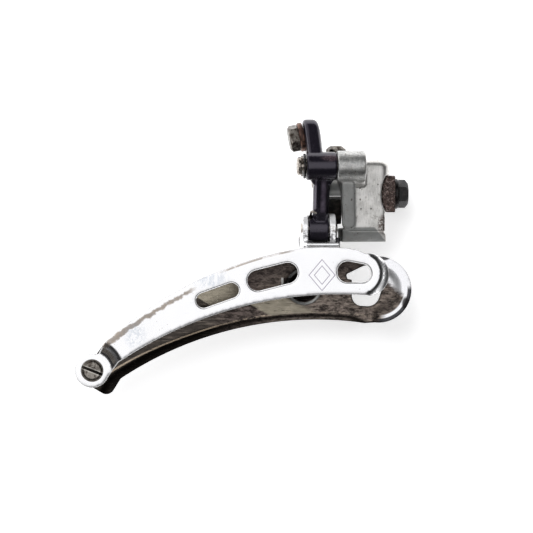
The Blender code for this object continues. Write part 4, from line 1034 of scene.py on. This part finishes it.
    # The dimple is painted black inside as shade, with a pale ring painted round its wall as a highlight.
    dx, dz = f.math("SUBTRACT", x, DISH[0]), f.math("SUBTRACT", z, DISH[1])
    deep = f.math("SQRT", f.math("ADD", f.math("MULTIPLY", dx, dx), f.math("MULTIPLY", dz, dz)))
    base = f.blend(f.math("MULTIPLY", front, f.ramp(deep, DISH[2] - 1.3, DISH[2] - 0.5, 0.97, 0.0)), base, (0.006, 0.005, 0.005))
    wall = f.math("MULTIPLY", front, f.ramp(f.math("ABSOLUTE", f.math("SUBTRACT", deep, DISH[2] - 0.35)), 0.2, 0.6, 0.85, 0.0))
    base = f.blend(wall, base, (0.42, 0.43, 0.42))
    # Painted shade in a box seen through the slot, and a painted highlight line along its left side.
    tall = f.math("MULTIPLY", f.ramp(z, -34.0, -33.4), f.math("MULTIPLY", front, f.ramp(z, -28.4, -28.0, 1.0, 0.0)))
    shade = f.math("MULTIPLY", tall, f.math("MULTIPLY", f.ramp(x, -33.2, -33.0), f.ramp(x, -30.0, -29.0, 1.0, 0.0)))
    base = f.blend(f.math("MULTIPLY", shade, 0.9), base, (0.012, 0.010, 0.010))
    base = f.blend(f.math("MULTIPLY", tall, f.ramp(f.math("ABSOLUTE", f.math("ADD", x, 33.5)), 0.25, 0.45, 0.8, 0.0)), base, (0.62, 0.62, 0.60))
    rim = f.ramp(edge, 0.1, 0.7, 1.0, 0.0)
    base = f.blend(f.math("MULTIPLY", rim, f.math("SUBTRACT", 0.75, f.math("MULTIPLY", plated, 0.7))), base, (0.02, 0.018, 0.018))
    rough = f.math("SUBTRACT", f.ramp(mottled, 0.3, 0.7, 0.40, 0.26), f.math("MULTIPLY", plated, 0.19))
    rough = f.math("SUBTRACT", rough, f.math("MULTIPLY", smooth_end, 0.1), clamp=True)
    rough = f.math("ADD", rough, f.math("MULTIPLY", curve, 0.3), clamp=True)
    f.bump(f.math("ADD", f.math("MULTIPLY", mottled, 0.6), f.math("MULTIPLY", scored, -0.5)), 0.35, 0.12)
    return f.done(base, f.math("SUBTRACT", 1.0, f.math("MAXIMUM", f.math("MULTIPLY", painted_highlight_streak, f.ramp(x, -60.0, -45.0, 0.85, 0.5)), f.math("MULTIPLY", curve, 0.3))), rough)


def bright_chrome():
    f = Finish("bright_chrome")
    fine = f.noise(1.6, 5, 0.65)
    stain = f.ramp(f.noise(0.5, 4, 0.6), 0.56, 0.68, 0.0, 0.6)
    base = f.blend(stain, (0.93, 0.93, 0.94), f.blend(fine, (0.25, 0.2, 0.16), (0.6, 0.55, 0.5)))
    # Darker along the foot of each ear, and the side tab darkened to near-black.
    x, z = f.axis(0), f.axis(2)
    foot = f.math("MULTIPLY", f.ramp(z, -13.6, -12.6, 1.0, 0.0), f.math("MULTIPLY", f.ramp(z, -16.2, -15.6), f.ramp(f.noise(0.8, 4, 0.6), 0.46, 0.56)))
    base = f.blend(f.math("MULTIPLY", foot, 0.8), base, (0.06, 0.055, 0.06))
    base = f.blend(f.ramp(x, -15.45, -15.25, 0.0, 0.97), base, (0.02, 0.018, 0.022))
    f.bump(fine, 0.2, 0.06)
    return f.done(base, f.ramp(z, -12.5, -9.5, 0.9, 0.45), f.ramp(fine, 0.3, 0.7, 0.08, 0.2))


def aluminium():
    f = Finish("aluminium")
    cloud = f.noise(0.22, 4, 0.6)
    grain = f.noise(3.0, 5, 0.7)
    wide = f.noise(0.9, 4, 0.6)
    brushed = f.noise(1.0, 4, 0.7, f.stretched((3.5, 3.5, 0.35)))
    x, y, z = f.axis(0), f.axis(1), f.axis(2)
    # The foot and the rib get a darker grey, partly their casting skin and partly painted shade of faces turned down
    # and aside; the block and the knuckles are polished.
    line = f.math("MINIMUM", -11.0, f.math("SUBTRACT", -10.8, f.math("MULTIPLY", f.math("ADD", x, 2.5), 1.13)))
    foot = f.ramp(f.math("SUBTRACT", z, line), -0.5, 0.2, 1.0, 0.0)
    rib = f.math("MULTIPLY", f.ramp(x, -9.1, -8.8, 1.0, 0.0), f.ramp(z, 3.2, 4.6, 1.0, 0.0))
    inner = f.math("MULTIPLY", f.math("MULTIPLY", f.ramp(y, -7.5, -6.5), f.ramp(z, -4.0, -2.0)), rib)
    cast_skin_and_shade = f.math("MAXIMUM", foot, rib)
    base = f.blend(f.ramp(f.math("ADD", f.math("MULTIPLY", cloud, 0.6), f.math("MULTIPLY", brushed, 0.4)), 0.38, 0.60), (0.70, 0.69, 0.66), (1.0, 0.985, 0.955))
    base = f.blend(f.ramp(z, 3.4, 5.2, 0.0, f.math("MULTIPLY", f.ramp(x, -6.5, -5.5, 1.0, 0.0), 0.75)), base, f.blend(f.ramp(f.math("ADD", f.math("MULTIPLY", wide, 0.5), f.math("MULTIPLY", grain, 0.5)), 0.4, 0.6), (0.40, 0.41, 0.41), (0.80, 0.80, 0.78)))
    base = f.blend(cast_skin_and_shade, base, f.blend(f.math("ADD", f.math("MULTIPLY", cloud, 0.6), f.math("MULTIPLY", grain, 0.4)), (0.22, 0.228, 0.225), (0.60, 0.605, 0.59)))
    pits = f.math("MULTIPLY", f.ramp(f.cells(0.55), 0.08, 0.2, 1.0, 0.0), f.ramp(f.noise(0.5, 2), 0.5, 0.58))
    base = f.blend(f.math("MULTIPLY", pits, 0.8), base, (0.12, 0.09, 0.07))
    dirt = f.ramp(f.noise(0.7, 6, 0.75), 0.55, 0.66, 0.0, 0.6)
    base = f.blend(dirt, base, (0.30, 0.27, 0.23))
    rust = f.math("MULTIPLY", f.near(0.6, -10.2, 1.7, 3.0, 0.35), f.math("MULTIPLY", f.ramp(grain, 0.42, 0.52), f.ramp(y, -6.5, -4.5, 1.0, 0.0)))
    base = f.blend(f.math("MULTIPLY", rust, 0.9), base, (0.10, 0.055, 0.04))
    rough = f.math("ADD", f.ramp(grain, 0.3, 0.7, 0.36, 0.48), f.math("MULTIPLY", cast_skin_and_shade, 0.12))
    height = f.math("ADD", f.math("MULTIPLY", grain, 0.3), f.math("MULTIPLY", wide, 0.7))
    base = f.blend(f.math("MULTIPLY", inner, 0.6), base, (0.75, 0.76, 0.74))
    f.bump(f.math("SUBTRACT", height, f.math("MULTIPLY", pits, 0.6)), 0.7, 0.18)
    return f.done(base, f.math("SUBTRACT", 1.0, f.math("MULTIPLY", inner, 0.7)), rough)


def black_anodised():
    f = Finish("black_anodised")
    cloud = f.noise(0.3, 4, 0.6)
    fine = f.noise(2.4, 5, 0.7)
    rubbed = f.ramp(f.noise(0.9, 6, 0.75), 0.62, 0.72, 0.0, 0.5)
    base = f.blend(cloud, (0.005, 0.0045, 0.007), (0.013, 0.011, 0.017))
    base = f.blend(rubbed, base, (0.09, 0.08, 0.09))
    # Painted highlights: pale stripes down the arm's middle and along one edge stand for the soft box's reflection.
    x, y, z = f.axis(0), f.axis(1), f.axis(2)
    down = f.math("MULTIPLY", f.ramp(z, -7.0, -4.5), f.ramp(z, 4.8, 6.5, 1.0, 0.0))
    middle = f.ramp(f.math("ABSOLUTE", f.math("ADD", x, 19.9)), 0.2, 1.3, 0.75, 0.0)
    side = f.ramp(f.math("ABSOLUTE", f.math("ADD", x, 22.6)), 0.1, 0.4, 0.6, 0.0)
    painted_sheen = f.math("MULTIPLY", f.math("MULTIPLY", down, f.math("MAXIMUM", middle, side)), f.ramp(cloud, 0.3, 0.6, 0.5, 1.0))
    base = f.blend(painted_sheen, base, (0.115, 0.095, 0.125))
    # Painted highlight: a reddish patch on the upper barrel's right side.
    painted_highlight_patch = f.math("MULTIPLY", f.near(-18.0, 12.3, 2.6, 1.0, 0.6), f.ramp(fine, 0.35, 0.6))
    base = f.blend(f.math("MULTIPLY", painted_highlight_patch, 0.6), base, (0.13, 0.09, 0.10))
    f.bump(f.math("ADD", f.math("MULTIPLY", fine, 0.5), f.noise(0.6, 3)), 0.3, 0.08)
    return f.done(base, 0.0, f.ramp(fine, 0.3, 0.7, 0.1, 0.24), Specular_IOR_Level=0.75, Specular_Tint=(0.92, 0.86, 1.0))


def dark_link():
    f = Finish("dark_link")
    cloud = f.noise(0.5, 5, 0.65)
    fine = f.noise(2.2, 5, 0.7)
    base = f.blend(f.ramp(cloud, 0.42, 0.62), (0.004, 0.0035, 0.0035), (0.030, 0.024, 0.020))
    f.bump(fine, 0.3, 0.07)
    return f.done(base, 0.0, f.ramp(fine, 0.3, 0.7, 0.3, 0.5), Specular_IOR_Level=0.35)


def steel(name="steel", seed=0.0, bright=1.0, groove=None):
    f = Finish(name)
    cloud = f.noise(0.45 + seed, 5, 0.65)
    fine = f.noise(2.2, 6, 0.7)
    worn = tuple(c * bright for c in (0.52, 0.48, 0.43))
    brown = tuple(c * bright for c in (0.10, 0.075, 0.06))
    base = f.blend(f.ramp(f.math("ADD", f.math("MULTIPLY", cloud, 0.55), f.math("MULTIPLY", fine, 0.45)), 0.44, 0.58), worn, brown)
    if groove:
        # Painted shade in the driver slot, paler lines along its edges, and a darker ring towards the head's rim.
        gx, gz, gy, turn = groove
        dx, dz = f.math("SUBTRACT", f.axis(0), gx), f.math("SUBTRACT", f.axis(2), gz)
        across = f.math("ABSOLUTE", f.math("ADD", f.math("MULTIPLY", dx, math.sin(turn)), f.math("MULTIPLY", dz, math.cos(turn))))
        pale_slot_edges = f.ramp(f.math("ABSOLUTE", f.math("SUBTRACT", across, 0.62)), 0.08, 0.25, 0.75, 0.0)
        base = f.blend(pale_slot_edges, base, (0.75, 0.72, 0.66))
        base = f.blend(f.ramp(across, 0.38, 0.48, 0.97, 0.0), base, (0.010, 0.008, 0.007))
        out = f.math("SQRT", f.math("ADD", f.math("MULTIPLY", dx, dx), f.math("MULTIPLY", dz, dz)))
        base = f.blend(f.ramp(out, 2.7, 3.5, 0.0, 0.6), base, (0.08, 0.07, 0.06))
    f.bump(fine, 0.3, 0.08)
    return f.done(base, 1.0, f.ramp(fine, 0.3, 0.7, 0.22, 0.42))


def black_steel():
    f = Finish("black_steel")
    cloud = f.noise(0.6, 5, 0.65)
    fine = f.noise(2.6, 5, 0.7)
    base = f.blend(f.ramp(cloud, 0.45, 0.7), (0.006, 0.0055, 0.0055), (0.024, 0.020, 0.019))
    f.bump(f.math("ADD", f.math("MULTIPLY", fine, 0.5), cloud), 0.5, 0.1)
    return f.done(base, 0.1, f.ramp(fine, 0.3, 0.7, 0.2, 0.36), Specular_IOR_Level=0.3)


def rusty_steel():
    f = Finish("rusty_steel")
    cloud = f.noise(0.5, 5, 0.7)
    grain = f.noise(1.7, 7, 0.78)
    flakes = f.ramp(f.noise(0.8, 7, 0.85), 0.50, 0.60)
    base = f.blend(f.ramp(grain, 0.38, 0.62), (0.010, 0.007, 0.006), (0.11, 0.072, 0.06))
    base = f.blend(f.math("MULTIPLY", flakes, 0.8), base, (0.55, 0.44, 0.41))
    f.bump(f.math("ADD", grain, f.math("MULTIPLY", cloud, 0.4)), 0.7, 0.25)
    return f.done(base, f.math("ADD", f.math("MULTIPLY", flakes, 0.5), 0.4), f.ramp(grain, 0.3, 0.7, 0.58, 0.34))


def copper_brown():
    f = Finish("copper_brown")
    cloud = f.noise(0.55, 5, 0.65)
    grain = f.noise(2.0, 5, 0.7)
    base = f.blend(f.ramp(cloud, 0.4, 0.62), (0.055, 0.032, 0.026), (0.22, 0.125, 0.095))
    f.bump(grain, 0.35, 0.1)
    return f.done(base, 0.75, f.ramp(grain, 0.3, 0.7, 0.3, 0.48))


FINISH = {
    "chrome": chrome(),
    "worn_chrome": worn_chrome(),
    "bright_chrome": bright_chrome(),
    "aluminium": aluminium(),
    "black_anodised": black_anodised(),
    "dark_link": dark_link(),
    "steel": steel(),
    "screw_steel": steel("screw_steel", 0.1, 0.62, (TAIL[0], TAIL[1], OUTER_PLATE_Y + TAIL_STEP, math.radians(21.6))),
    "hex_steel": steel("hex_steel", 0.2, 0.5),
    "pin_steel": steel("pin_steel", 0.05, 1.25),
    "black_steel": black_steel(),
    "rusty_steel": rusty_steel(),
    "copper_brown": copper_brown(),
}


plates()
mount_body()
mount_hardware()
limit_screws()
outer_link()
inner_link()
cable_anchor()
pins()
return_spring()
cage_bracket()
rivets()
tail_hardware()


# ---------------------------------------------------------------- studio
def row(x, y, z):
    return (Vector((x, y, z)) - ORIGIN) * MM


def floor():
    """A pale table that the derailleur lies on. Seen from behind it lets everything through."""
    y = 10.6
    corners = [row(x, y, z) for x, z in ((-900, -900), (900, -900), (900, 900), (-900, 900))]
    mesh = bpy.data.meshes.new("floor")
    mesh.from_pydata([tuple(c) for c in corners], [], [(0, 1, 2, 3)])
    if mesh.polygons[0].normal.y > 0:
        mesh.flip_normals()
    obj = bpy.data.objects.new("floor", mesh)
    bpy.context.scene.collection.objects.link(obj)
    mat = bpy.data.materials.new("floor")
    mat.use_nodes = True
    tree = mat.node_tree
    tree.nodes.clear()
    new = tree.nodes.new
    out, diffuse, glow, both = new("ShaderNodeOutputMaterial"), new("ShaderNodeBsdfDiffuse"), new("ShaderNodeEmission"), new("ShaderNodeAddShader")
    clear, pick, side = new("ShaderNodeBsdfTransparent"), new("ShaderNodeMixShader"), new("ShaderNodeNewGeometry")
    diffuse.inputs["Color"].default_value = (0.86, 0.86, 0.865, 1)
    glow.inputs["Color"].default_value = (1, 1, 1, 1)
    glow.inputs["Strength"].default_value = FLOOR_GLOW
    link = tree.links.new
    link(diffuse.outputs[0], both.inputs[0])
    link(glow.outputs[0], both.inputs[1])
    link(side.outputs["Backfacing"], pick.inputs[0])
    link(both.outputs[0], pick.inputs[1])
    link(clear.outputs[0], pick.inputs[2])
    link(pick.outputs[0], out.inputs["Surface"])
    mesh.materials.append(mat)
    obj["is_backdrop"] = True
    return obj


FLOOR_GLOW = 0.60
AXIS = Vector((-0.12, -1.0, 0.14)).normalized()

SIDE_AXIS = Vector((-0.62, -0.28, 0.73)).normalized()


def surroundings():
    """A soft box behind the camera, with a darker room round it."""
    world = bpy.data.worlds.new("studio")
    bpy.context.scene.world = world
    world.use_nodes = True
    tree = world.node_tree
    tree.nodes.clear()
    new, link = tree.nodes.new, tree.links.new
    out, back = new("ShaderNodeOutputWorld"), new("ShaderNodeBackground")
    coord, dot, curve = new("ShaderNodeTexCoord"), new("ShaderNodeVectorMath"), new("ShaderNodeValToRGB")
    dot.operation = "DOT_PRODUCT"
    dot.inputs[1].default_value = AXIS
    link(coord.outputs["Generated"], dot.inputs[0])
    spread = new("ShaderNodeMapRange")
    spread.inputs["From Min"].default_value = -1.0
    link(dot.outputs["Value"], spread.inputs["Value"])
    link(spread.outputs[0], curve.inputs[0])
    side, lobe, total = new("ShaderNodeVectorMath"), new("ShaderNodeMapRange"), new("ShaderNodeMix")
    side.operation = "DOT_PRODUCT"
    side.inputs[1].default_value = SIDE_AXIS
    link(coord.outputs["Generated"], side.inputs[0])
    lobe.interpolation_type = "SMOOTHSTEP"
    lobe.inputs["From Min"].default_value, lobe.inputs["From Max"].default_value = 0.80, 0.93
    lobe.inputs["To Max"].default_value = 0.6
    link(side.outputs["Value"], lobe.inputs["Value"])
    total.data_type, total.blend_type = "RGBA", "ADD"
    total.inputs[0].default_value = 1.0
    link(curve.outputs[0], total.inputs[6])
    link(lobe.outputs[0], total.inputs[7])
    link(total.outputs[2], back.inputs["Color"])
    link(back.outputs[0], out.inputs["Surface"])
    stops = [(0.0, 0.5), (0.44, 0.45), (0.52, 0.10), (0.70, 0.025), (0.88, 0.02), (0.925, 0.10), (0.955, 0.85), (1.0, 1.0)]
    ramp = curve.color_ramp
    ramp.interpolation = "LINEAR"
    while len(ramp.elements) < len(stops):
        ramp.elements.new(0.5)
    for element, (place, level) in zip(ramp.elements, stops):
        element.position = place
        element.color = (level, level, level * 1.01, 1)
    back.inputs["Strength"].default_value = 1.1


def lamp(name, place, aim, size, power, spread=180):
    data = bpy.data.lights.new(name, "AREA")
    data.shape, data.size, data.size_y, data.energy = "RECTANGLE", size[0], size[1], power
    data.spread = math.radians(spread)
    obj = bpy.data.objects.new(name, data)
    obj.location = row(*place)
    obj.rotation_euler = (row(*aim) - obj.location).to_track_quat("-Z", "Y").to_euler()
    obj.visible_camera = False
    bpy.context.scene.collection.objects.link(obj)
    return obj


def camera():
    azimuth, elevation, distance, across = math.radians(-5.0), math.radians(1.5), 1600.0, 180.68
    target = Vector((-38.14, 0.0, -24.58))
    way = Vector((math.sin(azimuth) * math.cos(elevation), -math.cos(azimuth) * math.cos(elevation), math.sin(elevation)))
    data = bpy.data.cameras.new("camera")
    data.sensor_width = 36.0
    data.lens = 36.0 * distance / across
    data.clip_start, data.clip_end = 0.1, 20.0
    obj = bpy.data.objects.new("camera", data)
    obj.location = row(*(target + way * distance))
    obj.rotation_euler = (-way).to_track_quat("-Z", "Y").to_euler()
    bpy.context.scene.collection.objects.link(obj)
    bpy.context.scene.camera = obj


surroundings()
floor()
key = lamp("key", (-420, -620, 420), (-40, 0, -20), (0.8, 0.8), 7.5)
key.visible_glossy = False
camera()
bpy.context.scene.view_settings.view_transform = "Standard"
bpy.context.scene.view_settings.look = "None"

NEW_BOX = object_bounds()


def plain(value):
    if isinstance(value, dict):
        return {key: plain(v) for key, v in value.items()}
    try:
        return [plain(v) for v in value]
    except TypeError:
        return float(value)


{"cad": plain(CAD_BOX), "visual": plain(NEW_BOX)}
